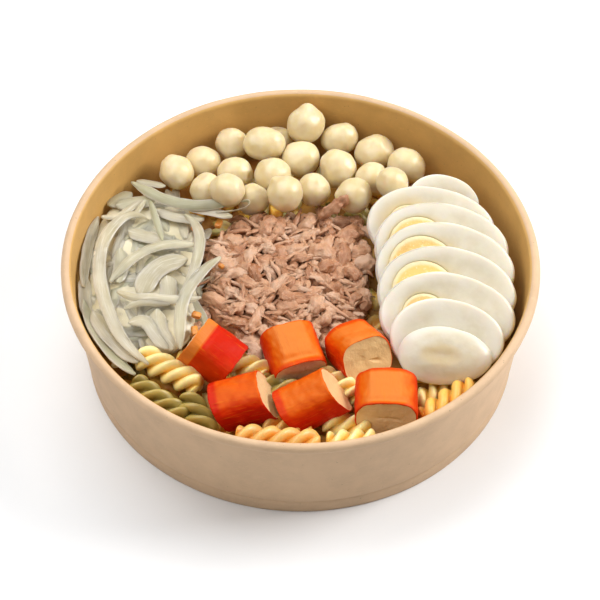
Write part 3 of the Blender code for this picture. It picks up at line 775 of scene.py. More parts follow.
# %% Cheese finish, and the pearls in their places
VIEW_TILT = math.radians(41)
cheese = new_finish("fresh_mozzarella", 0.36, (0.85, 6, (1.0, 0.85, 0.35)), (0.20, 0.35))
plug(cheese, "Base Color", clouds(cheese, 6, (0.70, 0.56, 0.31), (0.74, 0.625, 0.41), 4))
relief(cheese, noise(cheese, 2.2), 0.10)

for number, (radius, stretch, lean) in enumerate(PEARLS, 1):
    node = f"pearl_{number:02d}"
    low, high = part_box(node)
    ball = round_pearl(f"mozzarella_{number:02d}", radius * MM)
    side = 1 / math.sqrt(stretch)
    place = Matrix.Translation((low + high) / 2) @ Matrix.Rotation(VIEW_TILT, 4, "X")
    place @= Matrix.Rotation(math.radians(lean), 4, "Z") @ Matrix.Diagonal((stretch, side, side, 1))
    for pearl, bearing, toward, push, reach in PEARL_DENTS:
        if pearl == number:
            bearing = math.radians(bearing)
            out = Vector((math.cos(bearing), math.sin(bearing), toward)).normalized()
            press(ball, out * radius, out * (radius + 0.5), reach, out * push)
    settle(ball, place)
    soften(ball)
    ruffle(ball, 11, 2.0)
    ruffle(ball, 4, 0.45)
    apply_modifiers(ball)
    dress(ball, [cheese], "mozzarella", node)

# %% [markdown]
# ## The sliced egg
# A boiled egg was cut lengthwise with a wire slicer and pushed over, so its slices lean
# back on each other. A slice of white is a ring round the yolk: it goes from the yolk's
# edge out over the face, round the soft outer edge, and back over the other face. The
# two end slices have no yolk; they are flat inside and domed outside. A row holds the
# middle of a slice, its half length and half depth, and its lean in degrees.

# %% Places of the slices, and the egg's outline
EGG_SLICES = (
    (56, 39, 39.2, 14.7, 11.6, 29),
    (51, 25.5, 40.9, 25.3, 16, 29),
    (55, 13.8, 41.2, 26.5, 18.2, 27.5),
    (56.2, 2.1, 41.5, 27.2, 19.2, 27),
    (56.5, -9.7, 41.4, 27, 18.8, 27),
    (56.5, -21.2, 41.1, 26.2, 17.4, 28),
    (56, -32, 41.1, 22, 15.5, 29),
    (55, -40.7, 41.9, 18.3, 11.3, 31),
)
SLICE_HALF = 2.3
EGG_TAPER = 0.10
EGG_HEADING = math.radians(-5)
YOLK_MIDDLE = -9
YOLK_STRETCH = 1.06
YOLK_RADIUS = 12.4
EGG_PITCH = 4.9
EGG_POINTS = 56
YOLK_POINTS = 48
DOME = 5


def slice_place(row):
    """The place and lean of one slice."""
    place = Matrix.Translation(Vector(row[:3]) * MM) @ Matrix.Rotation(EGG_HEADING, 4, "Z")
    return place @ Matrix.Rotation(math.radians(row[5]), 4, "X")


def taper_egg(piece, half_length):
    """Makes the end at +X narrower, as an egg is."""
    for vertex in piece.data.vertices:
        vertex.co.y *= 1 - EGG_TAPER * vertex.co.x / (half_length * MM)


def yolk_radii(number):
    """Radius of the yolk on a slice's back and front face, in millimetres."""
    middle = (number - 3.5) * EGG_PITCH
    heights = [max(middle + side * SLICE_HALF, -YOLK_RADIUS * 0.97) for side in (-1, 1)]
    return [math.sqrt(YOLK_RADIUS ** 2 - height ** 2) for height in heights]


print("yolk on slice 4:", [round(radius, 1) for radius in yolk_radii(3)], "mm")


# %% [markdown]
# The rings of a slice are given by where they lie between the yolk's edge and the outer
# outline. A helper works out each ring, so that the same list serves every slice.


# %% Slices of white and yolk
def ring_between(share, z, yolk, outer):
    """A ring a share of the way from the yolk's edge to the egg's outline."""
    inner_wide, inner_deep = yolk * YOLK_STRETCH, yolk
    wide = inner_wide + (outer[0] - inner_wide) * share
    deep = inner_deep + (outer[1] - inner_deep) * share
    return z, wide, deep, YOLK_MIDDLE * (1 - share)


def white_slice(name, row, radii):
    """White of a middle slice: a closed ring round the yolk."""
    half, outer = SLICE_HALF, row[3:5]
    back, front = radii
    shares = (0, 0.05, 0.25, 0.5, 0.75, 0.93)
    rings = [ring_between(share, -half, back, outer) for share in shares]
    for degrees in (-80, -55, -25, 0, 25, 55, 80):
        angle = math.radians(degrees)
        reach = 1.0 - 0.055 * (1 - math.cos(angle))
        lift = half * math.sin(angle) / math.sin(math.radians(80)) * 0.99
        rings.append((lift, row[3] * reach, row[4] * reach))
    rings += [ring_between(share, half, front, outer) for share in reversed(shares)]
    rings += [ring_between(0, half * side, (front + back) / 2 + side * (front - back) / 2, outer)
              for side in (0.4, -0.4, -1)]
    piece = draw_up(name, circle(EGG_POINTS), rings, tube=True)
    taper_egg(piece, row[3])
    return piece


def end_slice(name, row, outward):
    """White of an end slice: flat on one side and domed on the other."""
    flat = -outward * SLICE_HALF
    wide, deep = row[3:5]
    rings = [(flat, wide * share, deep * share) for share in (0.02, 0.3, 0.6, 0.85, 0.97)]
    for step in range(13):
        angle = math.radians(4 + 84 * step / 12)
        reach = math.cos(angle)
        rings.append((flat + outward * DOME * math.sin(angle), wide * reach, deep * reach))
    piece = draw_up(name, circle(EGG_POINTS), rings)
    taper_egg(piece, row[3])
    return piece


def flat_slice(name, row):
    """White of the slice just past the yolk: flat on both sides."""
    side = [(1, share) for share in (0.02, 0.3, 0.6, 0.85, 0.95)] + [(0.9, 0.98), (0.5, 1)]
    rows = [(-lift, share) for lift, share in side] + side[::-1]
    rings = [(lift * SLICE_HALF, row[3] * share, row[4] * share) for lift, share in rows]
    piece = draw_up(name, circle(EGG_POINTS), rings)
    taper_egg(piece, row[3])
    return piece


def yolk_slice(name, row, radii):
    """A disc of yolk that fills the ring of white."""
    back, front = radii
    shares = (0.03, 0.25, 0.5, 0.75, 0.95, 1.02)
    sizes = [(-SLICE_HALF, back * share) for share in shares]
    sizes += [(0, (back + front) / 2 * 1.03)]
    sizes += [(SLICE_HALF, front * share) for share in reversed(shares)]
    rings = [(z, size * YOLK_STRETCH, size, YOLK_MIDDLE) for z, size in sizes]
    piece = draw_up(name, circle(YOLK_POINTS), rings)
    taper_egg(piece, row[3])
    return piece


print("middle slices:", len(EGG_SLICES) - 2)

# %% [markdown]
# Egg white is smooth, moist and full of scattered light. Yolk is dry and crumbly, so it
# gets coarse grains. Some slices took more yolk dust from the knife than others, so each
# yolk notes its own tone. Each slice of white is painted brightest at its rim, as a
# painted highlight, and tinged with yellow round the yolk. The front slice has only a
# faint yellow ghost of the yolk.

# %% Egg finishes
egg_white = new_finish("egg_white", 0.30, (0.7, 3.5, (1.0, 0.7, 0.36)), (0.10, 0.22))
white_colour = clouds(egg_white, 11, (0.56, 0.485, 0.34), (0.66, 0.60, 0.475), 4)
# Painted highlight: the white is painted brighter towards its rim.
white_colour = mix(egg_white, own_value(egg_white, "rim"), white_colour, (0.77, 0.73, 0.63))
white_colour = mix(egg_white, own_value(egg_white, "ghost"), white_colour, (0.64, 0.47, 0.19))
plug(egg_white, "Base Color", white_colour)
relief(egg_white, noise(egg_white, 3, detail=2), 0.10)

egg_yolk = new_finish("egg_yolk", 0.62, (0.20, 1.5, (1.0, 0.6, 0.2)))
yolk_grain = noise(egg_yolk, 0.9)
yolk_colour = clouds(egg_yolk, 5, (0.66, 0.38, 0.10), (0.76, 0.52, 0.20), 4)
yolk_colour = mix(egg_yolk, own_value(egg_yolk, "bright"), yolk_colour, (0.80, 0.56, 0.16))
yolk_colour = mix(egg_yolk, mask(egg_yolk, yolk_grain, 0.56, 0.70), yolk_colour, (0.84, 0.66, 0.36))
film = mask(egg_yolk, own_value(egg_yolk, "outward"), 0.84, 1.0)
plug(egg_yolk, "Base Color", mix(egg_yolk, film, yolk_colour, (0.84, 0.70, 0.42)))
relief(egg_yolk, yolk_grain, 0.30)
print("egg finishes:", egg_white.name, egg_yolk.name)

# %% [markdown]
# Every slice is shaped flat, and only then leaned into its place. While it is flat, its
# own axes say where its rim is and how far a point lies from the yolk, so the notes are
# written first. Slices are numbered from the back; the one before last is cut just past
# the yolk, and the last one has the shallow hollow that the yolk pressed into it.

# %% Lay the egg
YOLK_BRIGHT = {1: 0.0, 2: 0.8, 3: 0.3, 4: 0.9, 5: 0.2}
FIRST, FLAT, LAST = 0, 6, 7
RIM_LIGHT_START, RIM_LIGHT_WIDTH = 0.72, 0.26
GHOST_MIDDLE = (-1.5, -0.2)
GHOST_HALF = (8.5, 4.4)


def lay(piece, row, lumps):
    """Puts a slice in its place and finishes its surface with lumps of (size, height)."""
    settle(piece, slice_place(row))
    soften(piece)
    ruffle(piece, *lumps)
    apply_modifiers(piece)


def yellow_tinge(number, x, y):
    """How yellow the front of a slice is: round its yolk, or as a ghost on the last one."""
    if number == LAST:
        u, v = (x - GHOST_MIDDLE[0]) / GHOST_HALF[0], (y - GHOST_MIDDLE[1]) / GHOST_HALF[1]
        return max(0, 1 - ((math.hypot(u, v) - 0.5) / 0.6) ** 2) * 0.5
    if number in YOLK_BRIGHT:
        gap = math.hypot((x - YOLK_MIDDLE) / YOLK_STRETCH, y) - yolk_radii(number)[1]
        return max(0, 1 - gap / (5.5 if number == 1 else 1.6)) * 0.7
    return 0.0


for number, row in enumerate(EGG_SLICES):
    name = f"white_slice_{number + 1}"
    if number in (FIRST, LAST):
        white = end_slice(name, row, -1 if number == FIRST else 1)
    elif number == FLAT:
        white = flat_slice(name, row)
    else:
        radii = yolk_radii(number)
        white = white_slice(name, row, radii)
        yolk = yolk_slice(f"yolk_slice_{number + 1}", row, radii)
        note(yolk, "bright", YOLK_BRIGHT[number])
        note(yolk, "outward", [math.hypot((v.co.x / MM - YOLK_MIDDLE) / (radii[1] * YOLK_STRETCH),
                                          v.co.y / MM / radii[1]) for v in yolk.data.vertices])
        lay(yolk, row, (2.2, 0.35))
        dress(yolk, [egg_yolk], "egg_yolk", f"egg_yolk_{number + 1}")
    if number == LAST:
        press(white, (-5.5, -0.4, 2.6), (2.5, -0.4, 2.6), 4.2, (0, 0, -0.6))
    places = [vertex.co / MM for vertex in white.data.vertices]
    # How far towards the rim a point lies, for the painted highlight there.
    note(white, "rim", [clamp((math.hypot(x / row[3], y / row[4]) - RIM_LIGHT_START) / RIM_LIGHT_WIDTH)
                        for x, y, z in places])
    note(white, "ghost", [yellow_tinge(number, x, y) if z > 0 else 0.0 for x, y, z in places])
    lay(white, row, (12, 0.7))
    dress(white, [egg_white], "egg_white", f"egg_white_{number + 1}")

# %% [markdown]
# ## Crab sticks
# Pressed fish sticks have a square section with round corners, a thin orange skin and
# pale layered flesh. They were cut a little askew. Each piece is drawn up with flat
# ends made of several rings, so that the flesh has points of its own. Then the whole
# piece leans, which slants both cuts alike. Every point notes whether it is skin. A row
# holds x and y of the middle, heading and pitch, length, width, height and the lean.

# %% Places and outline of the crab sticks
STICKS = (
    (-33, -39.5, 151, 22, 18.5, 19, 17.5, -3),
    (-2.5, -38.3, -72, -6, 19, 21, 18, 6),
    (22.3, -37.7, -63, 23, 15.9, 20.5, 17.5, -9),
    (32.6, -60.4, -91, 0, 17, 23.5, 18.5, -2),
    (-21, -61.7, 8, 15, 19, 18.5, 17.5, -13),
    (4.6, -61.9, 18, 20, 20.5, 18, 17.5, -14),
)
STICK_SQUARENESS = 2.7
STICK_POINTS = 56


def square_outline(count):
    """A square with round corners that reaches 1 each way."""
    power = 2 / STICK_SQUARENESS
    return [(math.copysign(abs(u) ** power, u), math.copysign(abs(v) ** power, v))
            for u, v in circle(count)]


print("corner of the outline:", [round(value, 2) for value in square_outline(8)[1]])


# %% [markdown]
# Near each cut the rings lie closer together, so that the skin's edge can be torn a
# little. A sum of random waves round the stick does that more evenly than moving
# points one by one. The grain is noted last, before the stick is turned.

# %% Form of a crab stick
def note_grain(piece):
    """Keeps each vertex's place before the piece is turned, so that fibres can follow it."""
    attribute = piece.data.attributes.new("grain", "FLOAT_VECTOR", "POINT")
    attribute.data.foreach_set("vector", [c for vertex in piece.data.vertices for c in vertex.co])


def stick_rings(length, width, height):
    """Rings from one cut end to the other, and which of them are skin."""
    cut = (0.02, 0.12, 0.22, 0.32, 0.42, 0.52, 0.61, 0.70, 0.78, 0.85, 0.90, 0.935)
    end = [(0, share, 0) for share in cut]
    end += [(0, 0.955, 0.5), (0, 0.975, 1), (0.12, 0.988, 1), (0.4, 1, 1), (0.9, 1, 1)]
    half, steps = length / 2, max(6, round(length / 1.4))
    rows = [(inset - half, share, is_skin) for inset, share, is_skin in end]
    rows += [(0.9 - half + (length - 1.8) * step / steps, 1, 1) for step in range(1, steps)]
    rows += [(half - inset, share, is_skin) for inset, share, is_skin in reversed(end)]
    return ([(z, width / 2 * share, height / 2 * share) for z, share, _ in rows],
            [is_skin for _, _, is_skin in rows])


def crab_stick(name, row, seed):
    """One piece of crab stick, still along Z, with leaning cuts and a ragged skin edge."""
    length, width, height, lean = row[4:]
    rings, skin = stick_rings(length, width, height)
    piece = draw_up(name, square_outline(STICK_POINTS), rings)
    skins = [skin[min(number // STICK_POINTS, len(skin) - 1)]
             for number in range(len(piece.data.vertices))]
    note(piece, "skin", skins)
    draw = random.Random(seed)
    waves = [(draw.randint(3, 17), draw.uniform(0, 6.28), draw.uniform(0.03, 0.13))
             for _ in range(7)]
    for number, vertex in enumerate(piece.data.vertices):
        if skins[number] > 0 and abs(vertex.co.z) > (length / 2 - 0.5) * MM:
            angle = 2 * math.pi * (number % STICK_POINTS) / STICK_POINTS
            tear = sum(size * math.sin(times * angle + begin) for times, begin, size in waves)
            vertex.co.z += math.copysign(tear * MM, vertex.co.z)
        vertex.co.z -= vertex.co.y * math.tan(math.radians(lean))
    note_grain(piece)
    return piece


def stick_turn(row):
    """Axes of a stick: across it, up through it and along it."""
    heading, pitch = math.radians(row[2]), math.radians(row[3])
    along = Vector((math.cos(heading) * math.cos(pitch), math.sin(heading) * math.cos(pitch),
                    math.sin(pitch)))
    across = Vector((math.sin(heading), -math.cos(heading), 0))
    return Matrix((across, along.cross(across), along)).transposed()


print("rings in a stick:", len(stick_rings(19, 19, 17.5)[0]))

# %% [markdown]
# The skin is dyed on one side of the stick: salmon where the dye is thin, then orange,
# then deep red; the tone that picks these colours is partly this dye and partly painted
# light and shade. It has faint fibres along the stick. The flesh is rolled from thin
# sheets, so its cut shows layers, and each stick's cut faces are painted lighter or
# darker as a whole, as painted light.

# %% Crab stick finish
def scaled_sum(finish, share, factor, other):
    """A share times a factor, with another share added."""
    return add_node(finish, "ShaderNodeMath", {0: share, 1: factor, 2: other},
                    operation="MULTIPLY_ADD").outputs[0]


surimi = new_finish("crab_stick", 0.5, (0.05, 1.2, (1.0, 0.35, 0.15)), (0.02, 0.3),
                    {"Specular IOR Level": 0.10})
grain = own_value(surimi, "grain", "Vector")
fibres = noise(surimi, 0.9, stretch=(1, 1, 9), place=grain)
layers = noise(surimi, 1.8, stretch=(3.5, 0.8, 1), place=grain, twist=0.5)
dye_and_shade = scaled_sum(surimi, noise(surimi, 4), 0.16, own_value(surimi, "dye_and_shade"))
skin_colour = ramp(surimi, dye_and_shade, (
    (0.06, (0.40, 0.006, 0.0005)), (0.34, (0.56, 0.014, 0.0005)), (0.60, (0.64, 0.055, 0.0005)),
    (0.82, (0.69, 0.115, 0.001)), (1.0, (0.70, 0.195, 0.030))))
skin_colour = mix(surimi, mask(surimi, fibres, 0.54, 1.0), skin_colour, (0.78, 0.20, 0.006))
# Painted light: each stick's cut faces are painted lighter or darker as a whole.
flesh = mix(surimi, own_value(surimi, "painted_cut_light"), (0.70, 0.43, 0.18), (0.78, 0.60, 0.38))
flesh = mix(surimi, mask(surimi, layers, 0.60, 0.80), flesh, (0.62, 0.36, 0.15))
skin_share = own_value(surimi, "skin")
edge = mix(surimi, mask(surimi, skin_share, 0.25, 0.6), flesh, (0.64, 0.085, 0.006))
plug(surimi, "Base Color", mix(surimi, mask(surimi, skin_share, 0.7, 1.0), edge, skin_colour))
relief(surimi, layers, 0.05, relief(surimi, fibres, 0.20))
print("crab stick finish has", len(surimi.node_tree.nodes), "nodes")

# %% [markdown]
# Creases and dents are pressed in before a stick is turned to its place: a line of skin
# that folded, or the slit where two sheets parted. The skin's tone is partly dye and partly
# painted light: it depends on which way the skin faces, so most sticks are painted salmon
# on top and deep red down their sides. The first one is red nearly all round; its side
# towards the left front is painted paler, as painted light, and the salmon band at its
# raised end is partly dye and partly painted light.

# %% Creases and slits: start, end, reach and push
STICK_DENTS = {
    1: (((-7, -9, 4.4), (8, -9, 4.0), 1.5, (0, 1.5, 0)),
        ((-6, -9, 6.2), (3, -9, 5.9), 1.2, (0, 0.8, 0)),
        ((-8.5, -9, -9), (-7.5, -9, 4.2), 1.6, (0.3, 0.5, 0))),
    2: (((-6, -9, 7.2), (6, -9, 7.2), 1.6, (0, 0.7, 0)),
        ((-5.5, -9, -9), (-5.5, -9, 7), 1.4, (0, -0.6, 0)),
        ((5.5, -9, -9), (5.5, -9, 7), 1.4, (0, -0.6, 0))),
    3: (((-4.4, 1.9, 8.2), (-2.2, 1.1, 8.2), 0.8, (0, 0, -1.0)),
        ((1.8, -1.6, 7.8), (2.6, 0.6, 7.8), 0.8, (0, 0, -0.4)),
        ((-7, -9, 6.4), (7, -9, 6.4), 1.6, (0, 0.4, 0))),
    4: (((-6, -9.3, 6.6), (6.5, -9.3, 6.6), 1.5, (0, 0.7, 0)),
        ((-5, 0.6, 8.5), (3, -0.4, 8.5), 0.9, (0, 0, -0.5)),
        ((-6, -9.3, -8), (-5.5, -9.3, 6.4), 1.4, (0, -0.6, 0)),
        ((6.4, -9.3, -8), (6.2, -9.3, 6.4), 1.4, (0, -0.6, 0))),
    5: (((-9, -2, -8), (-9, -3, 4), 2.2, (0.5, 0, 0)),
        ((-6, -8.6, -6), (-1, -9, 3), 2.0, (0, 0.4, 0))),
    6: (((-8, -4, -6), (-9, -1, 5), 2.4, (0.5, 0.2, 0)),
        ((0, -8.6, -7), (2, -9, 4), 2.0, (0, 0.4, 0))),
}
print("creases and slits:", sum(len(dents) for dents in STICK_DENTS.values()))

# %% [markdown]
# A stick keeps the height of its CAD solid, so it is set down on that solid's lowest
# point. Soft lumps of two sizes then make its faces uneven. The tone of the skin is read
# from the finished surface, because only there it is known which way each point faces:
# skin that faces up is painted paler, as painted light, and skin that faces down or aside
# deeper red, as painted shade.

# %% Lay the crab sticks
# Painted light and shade on the skin: the tone for skin that faces down, and for skin that faces up.
DYE_AND_SHADE_BELOW = {1: 0.0, 2: 0.30, 3: 0.34, 4: 0.30, 5: 0.06, 6: 0.26}
DYE_AND_LIGHT_ABOVE = {1: 0.94, 2: 0.94, 3: 0.94, 4: 0.94, 5: 0.70, 6: 0.82}
# How much painted light each stick's cut faces get, as a whole.
PAINTED_LIGHT_ON_CUTS = {1: 0.8, 2: 0.9, 3: 0.15, 4: 0.8, 5: 0.3, 6: 0.2}
RED_STICK = 1
# Stick 1 is painted paler on its side towards this direction, as painted light.
PAINTED_LIGHT_SIDE = Vector((-0.75, -0.60, -0.05))


def dye_and_shade_at(number, half, along, normal):
    """Tone of a point of skin, deep red at 0 to salmon at 1: dye plus painted light and shade."""
    up = max(0, normal.z) ** 1.7
    rim = 0.4 * clamp((abs(along) - half + 1.6) / 1.2)
    # Stick 1: painted light on its side towards the left front; its paler raised end is partly dye,
    # partly painted light.
    if number == RED_STICK:
        up = max(0.29 + 0.16 * normal.dot(PAINTED_LIGHT_SIDE), 1.06 * clamp(along - half + 5.2))
        rim = 0
    return clamp(DYE_AND_SHADE_BELOW[number] + (DYE_AND_LIGHT_ABOVE[number] - DYE_AND_SHADE_BELOW[number] - rim) * up)


for number, row in enumerate(STICKS, 1):
    node = f"crab_stick_{number}"
    stick = crab_stick(f"surimi_{number}", row, number)
    for dent in STICK_DENTS[number]:
        press(stick, *dent)
    turn = stick_turn(row)
    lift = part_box(node)[0].z - min((turn @ vertex.co).z for vertex in stick.data.vertices)
    settle(stick, Matrix.Translation((row[0] * MM, row[1] * MM, lift)) @ turn.to_4x4())
    soften(stick)
    ruffle(stick, 6, 0.8)
    ruffle(stick, 1.8, 0.22)
    apply_modifiers(stick)
    grains = stick.data.attributes["grain"].data
    dyes_and_shade = [dye_and_shade_at(number, row[4] / 2, grain.vector.z / MM, vertex.normal)
            for vertex, grain in zip(stick.data.vertices, grains)]
    note(stick, "dye_and_shade", dyes_and_shade)
    note(stick, "painted_cut_light", PAINTED_LIGHT_ON_CUTS[number])
    dress(stick, [surimi], "crab_stick", node)

# %% [markdown]
# ## The onion
# The onion lies as a loose heap of curved ribbons, wide and narrow. Raw onion is glassy:
# ribbons are greenish in their middle, and their white edges are partly real and partly
# painted highlight. A ribbon is a grid with a hollow across it, thickened a little and
# bent along a curve. A low mound with squarish corners closes the depth below, as in the
# CAD heap.


# %% A mound under a heap
SQUARENESS = 3.4
MOUND_REACH = 85


def spread_of(u, v):
    """How far out a place of a heap lies, from 0 in the middle to 1 on its outline."""
    return (abs(u) ** SQUARENESS + abs(v) ** SQUARENESS) ** (1 / SQUARENESS)


def mound(name, middle, half, height):
    """A low heap on the bed: a sphere pressed flat below and blunt on top."""
    pick()
    bpy.ops.mesh.primitive_uv_sphere_add(segments=80, ring_count=40, radius=1)
    piece = name_new(name)
    for vertex in piece.data.vertices:
        u, v, w = vertex.co
        square = math.hypot(u, v) / max(spread_of(u, v), 0.01)
        u, v = u * square, v * square
        x, y = middle[0] + half[0] * u, middle[1] + half[1] * v
        room = min(1, MOUND_REACH / max(math.hypot(x, y), 1))
        x, y = x * room, y * room
        lift = height * max(0, 1 - spread_of(u, v) ** 2) ** 0.3 if w > 0.01 else 0
        vertex.co = Vector((x, y, bed_height(y) + 0.2 + lift)) * MM
    return piece


ONION_MIDDLE = (-61.5, 6)
ONION_HALF = (22.5, 39)
onion_core = mound("onion_core", ONION_MIDDLE, (22.2, 38.5), 7.6)
ruffle(onion_core, 7, 1.4)
apply_modifiers(onion_core)
print("onion core is", round(onion_core.dimensions.z / MM, 1), "mm high")

# %% [markdown]
# A ribbon starts flat along X. The Curve modifier then lays it along its route and
# stretches it to fit. Each route is a smooth curve through a few points, in millimetres.
# A tilt at each end turns the ribbon towards its edge.


# %% Form of an onion ribbon
RIBBON_WALL = 0.6
RIBBON_EDGE = 0.25


def ribbon_route(name, route, tilts):
    """The curve that a ribbon follows, tilted a little more or less along its way."""
    curve = bpy.data.curves.new(name, "CURVE")
    curve.dimensions = "3D"
    curve.twist_mode = "Z_UP"
    curve.use_stretch = True
    curve.use_deform_bounds = True
    line = curve.splines.new("NURBS")
    line.points.add(len(route) - 1)
    for number, (point, spot) in enumerate(zip(line.points, route)):
        point.co = (*(Vector(spot) * MM), 1)
        share = number / (len(route) - 1)
        point.tilt = math.radians(tilts[0] + (tilts[1] - tilts[0]) * share)
    line.order_u = 3
    line.use_endpoint_u = True
    guide = bpy.data.objects.new(name, curve)
    bpy.context.scene.collection.objects.link(guide)
    return guide


def lay_strip(name, route, width, tilts=(0, 0), cells=26):
    """A thin ribbon of onion along a route."""
    pick()
    bpy.ops.mesh.primitive_grid_add(x_subdivisions=cells, y_subdivisions=6, size=2)
    strip = name_new(name)
    length = sum((Vector(b) - Vector(a)).length for a, b in zip(route, route[1:]))
    note(strip, "across", [abs(vertex.co.y) for vertex in strip.data.vertices])
    note(strip, "green", random.Random(name).random())
    for vertex in strip.data.vertices:
        u, v, _ = vertex.co
        end = 1 - 0.84 * (max(0, abs(u) - 0.5) / 0.5) ** 2
        sag = -0.22 * v * v * min(width, 6) / 2
        vertex.co = Vector(((u + 1) / 2 * length, v * width / 2 * end, sag)) * MM
    note_grain(strip)
    middle = strip.vertex_groups.new(name="middle")
    for index, vertex in enumerate(strip.data.vertices):
        middle.add([index], 1 - (2 * abs(vertex.co.y) / (width * MM)) ** 3, "REPLACE")
    wall = strip.modifiers.new("Wall", "SOLIDIFY")
    wall.thickness = RIBBON_WALL * MM
    wall.offset = 0
    wall.vertex_group = "middle"
    wall.thickness_vertex_group = RIBBON_EDGE
    guide = ribbon_route(name + "_route", route, tilts)
    bend = strip.modifiers.new("Route", "CURVE")
    bend.object = guide
    bend.deform_axis = "POS_X"
    soften(strip)
    apply_modifiers(strip)
    bpy.data.objects.remove(guide)
    return strip


print("a ribbon is", RIBBON_WALL, "mm thick in its middle")

# %% [markdown]
# The ribbons that can be told apart in the photograph are laid one by one: the long ones
# at the back, those round the left wall, and the wide ones across the middle.

# %% Ribbons placed one by one: route, width, and the tilt at each end
ONION_STRIPS = (
    (((-68, 49, 40), (-62, 44, 41), (-55, 38, 42), (-45, 33.5, 43.5), (-35, 32.5, 44.5),
      (-26, 34.5, 45)), 4.8, (0, 40)),
    (((-24, 34, 45), (-20.5, 35.5, 44.6), (-20.5, 33, 43.8), (-26, 31, 43), (-34, 30.5, 42.5)),
     2.2, (80, 60)),
    (((-66, 51, 38), (-60, 50, 38.5), (-54, 48, 38.6)), 3.4, (0, 0)),
    (((-60, 29, 39.4), (-63, 31.5, 41), (-69, 30, 42), (-74, 24, 42.2), (-77.5, 16, 42.2),
      (-78.5, 5, 42.2), (-77.5, -7, 42), (-74, -19, 41.6), (-69, -31, 41), (-63, -39, 40.4),
      (-57, -44, 39)), 5.4, (0, 0)),
    (((-60, 38, 41), (-58, 30, 42), (-56, 23, 42), (-54, 16, 41.8)), 3.0, (25, 10)),
    (((-62, 39, 40), (-64, 34, 40), (-67, 30, 39.5)), 2.2, (0, 0)),
    (((-46, 31, 41), (-42, 27, 42.4), (-39, 17, 43), (-40, 7, 43), (-42, -2, 42.4),
      (-44, -10, 41.2), (-46, -17, 40)), 4.4, (0, 0)),
    (((-74, -4, 40), (-71, 1, 41), (-65, 8, 42), (-57, 13, 42.4), (-49, 15, 42.2),
      (-41, 14, 42)), 4.8, (0, 0)),
    (((-62, -10, 39), (-60, -3, 40.2), (-56, 3, 41), (-50, 7, 41), (-44, 8, 40.6)), 8.6, (10, 0)),
    (((-31, 7, 43), (-36, 3, 43), (-40, -3, 43), (-44, -10, 42.4), (-46, -19, 41.6),
      (-46, -28, 40.8), (-45.5, -37, 39.4)), 5.0, (0, 0)),
    (((-71, -9, 40.6), (-65, -13, 41.4), (-58, -13, 41.8), (-51, -14, 41.8), (-43, -14, 41.4),
      (-38, -12, 41)), 3.8, (20, 20)),
    (((-68, -18, 40.4), (-64, -15.5, 40.8), (-58, -14.5, 41), (-50, -15.5, 40.8)), 2.6, (30, 30)),
    (((-66, -24, 39.4), (-61, -22, 40), (-58, -24, 40), (-55, -30, 39.4), (-50, -36, 38.4)),
     6.0, (0, 0)),
    (((-80, 32, 38), (-83, 20, 38), (-84, 7, 38), (-84, -5, 38)), 4.6, (-35, -35)),
    (((-83.5, -11, 38), (-81, -21, 38), (-76, -31, 37.6), (-69, -41, 37), (-62, -47, 36.4)),
     5.6, (-30, -20)),
    (((-80, -17, 38.6), (-75, -27, 38.6), (-68, -35, 38.4), (-61, -42, 37.6)), 7.4, (-10, 0)),
    (((-79, 31, 39), (-73, 30, 39.4), (-69, 34, 39.4), (-63, 40, 39)), 3.2, (0, 0)),
    (((-76.5, 38, 37.4), (-73, 42.5, 37.8), (-67, 45, 38)), 7.0, (-10, -10)),
    (((-68, 23, 39.6), (-61, 20, 40), (-54, 19, 40)), 6.4, (0, 0)),
    (((-58, 35, 39.4), (-52, 31.5, 40), (-46, 30, 40), (-38, 29.5, 40)), 5.4, (0, 0)),
    (((-55, -17, 39.8), (-55, -23, 39.6), (-53, -30, 39), (-48, -36, 38)), 7.2, (0, 10)),
    (((-47, 35, 41.4), (-40, 32.5, 42), (-33, 31, 42.4), (-27, 28.5, 42.4)), 4.4, (0, 0)),
    (((-71, 14, 40), (-69, 5, 40), (-71, -4, 39.6)), 6.0, (0, 0)),
    (((-52, 0, 39.6), (-50, -7, 39.6), (-52, -13, 39)), 7.0, (0, 0)),
    (((-74, 38, 38), (-66, 40, 38.8), (-58, 40, 39)), 6.5, (0, 0)),
    (((-83.5, 2, 36.8), (-83.5, -9, 36.6), (-81.5, -20, 36.4)), 6.0, (-30, -30)),
)
strips = [lay_strip(f"strip_{number}", *row) for number, row in enumerate(ONION_STRIPS)]
print("onion ribbons placed by hand:", len(strips))

# %% [markdown]
# More ribbons lie below these and close the gaps. They are short narrow arcs, drawn at
# random over the mound. They lie a little lower, so that the ribbons above stay clear.

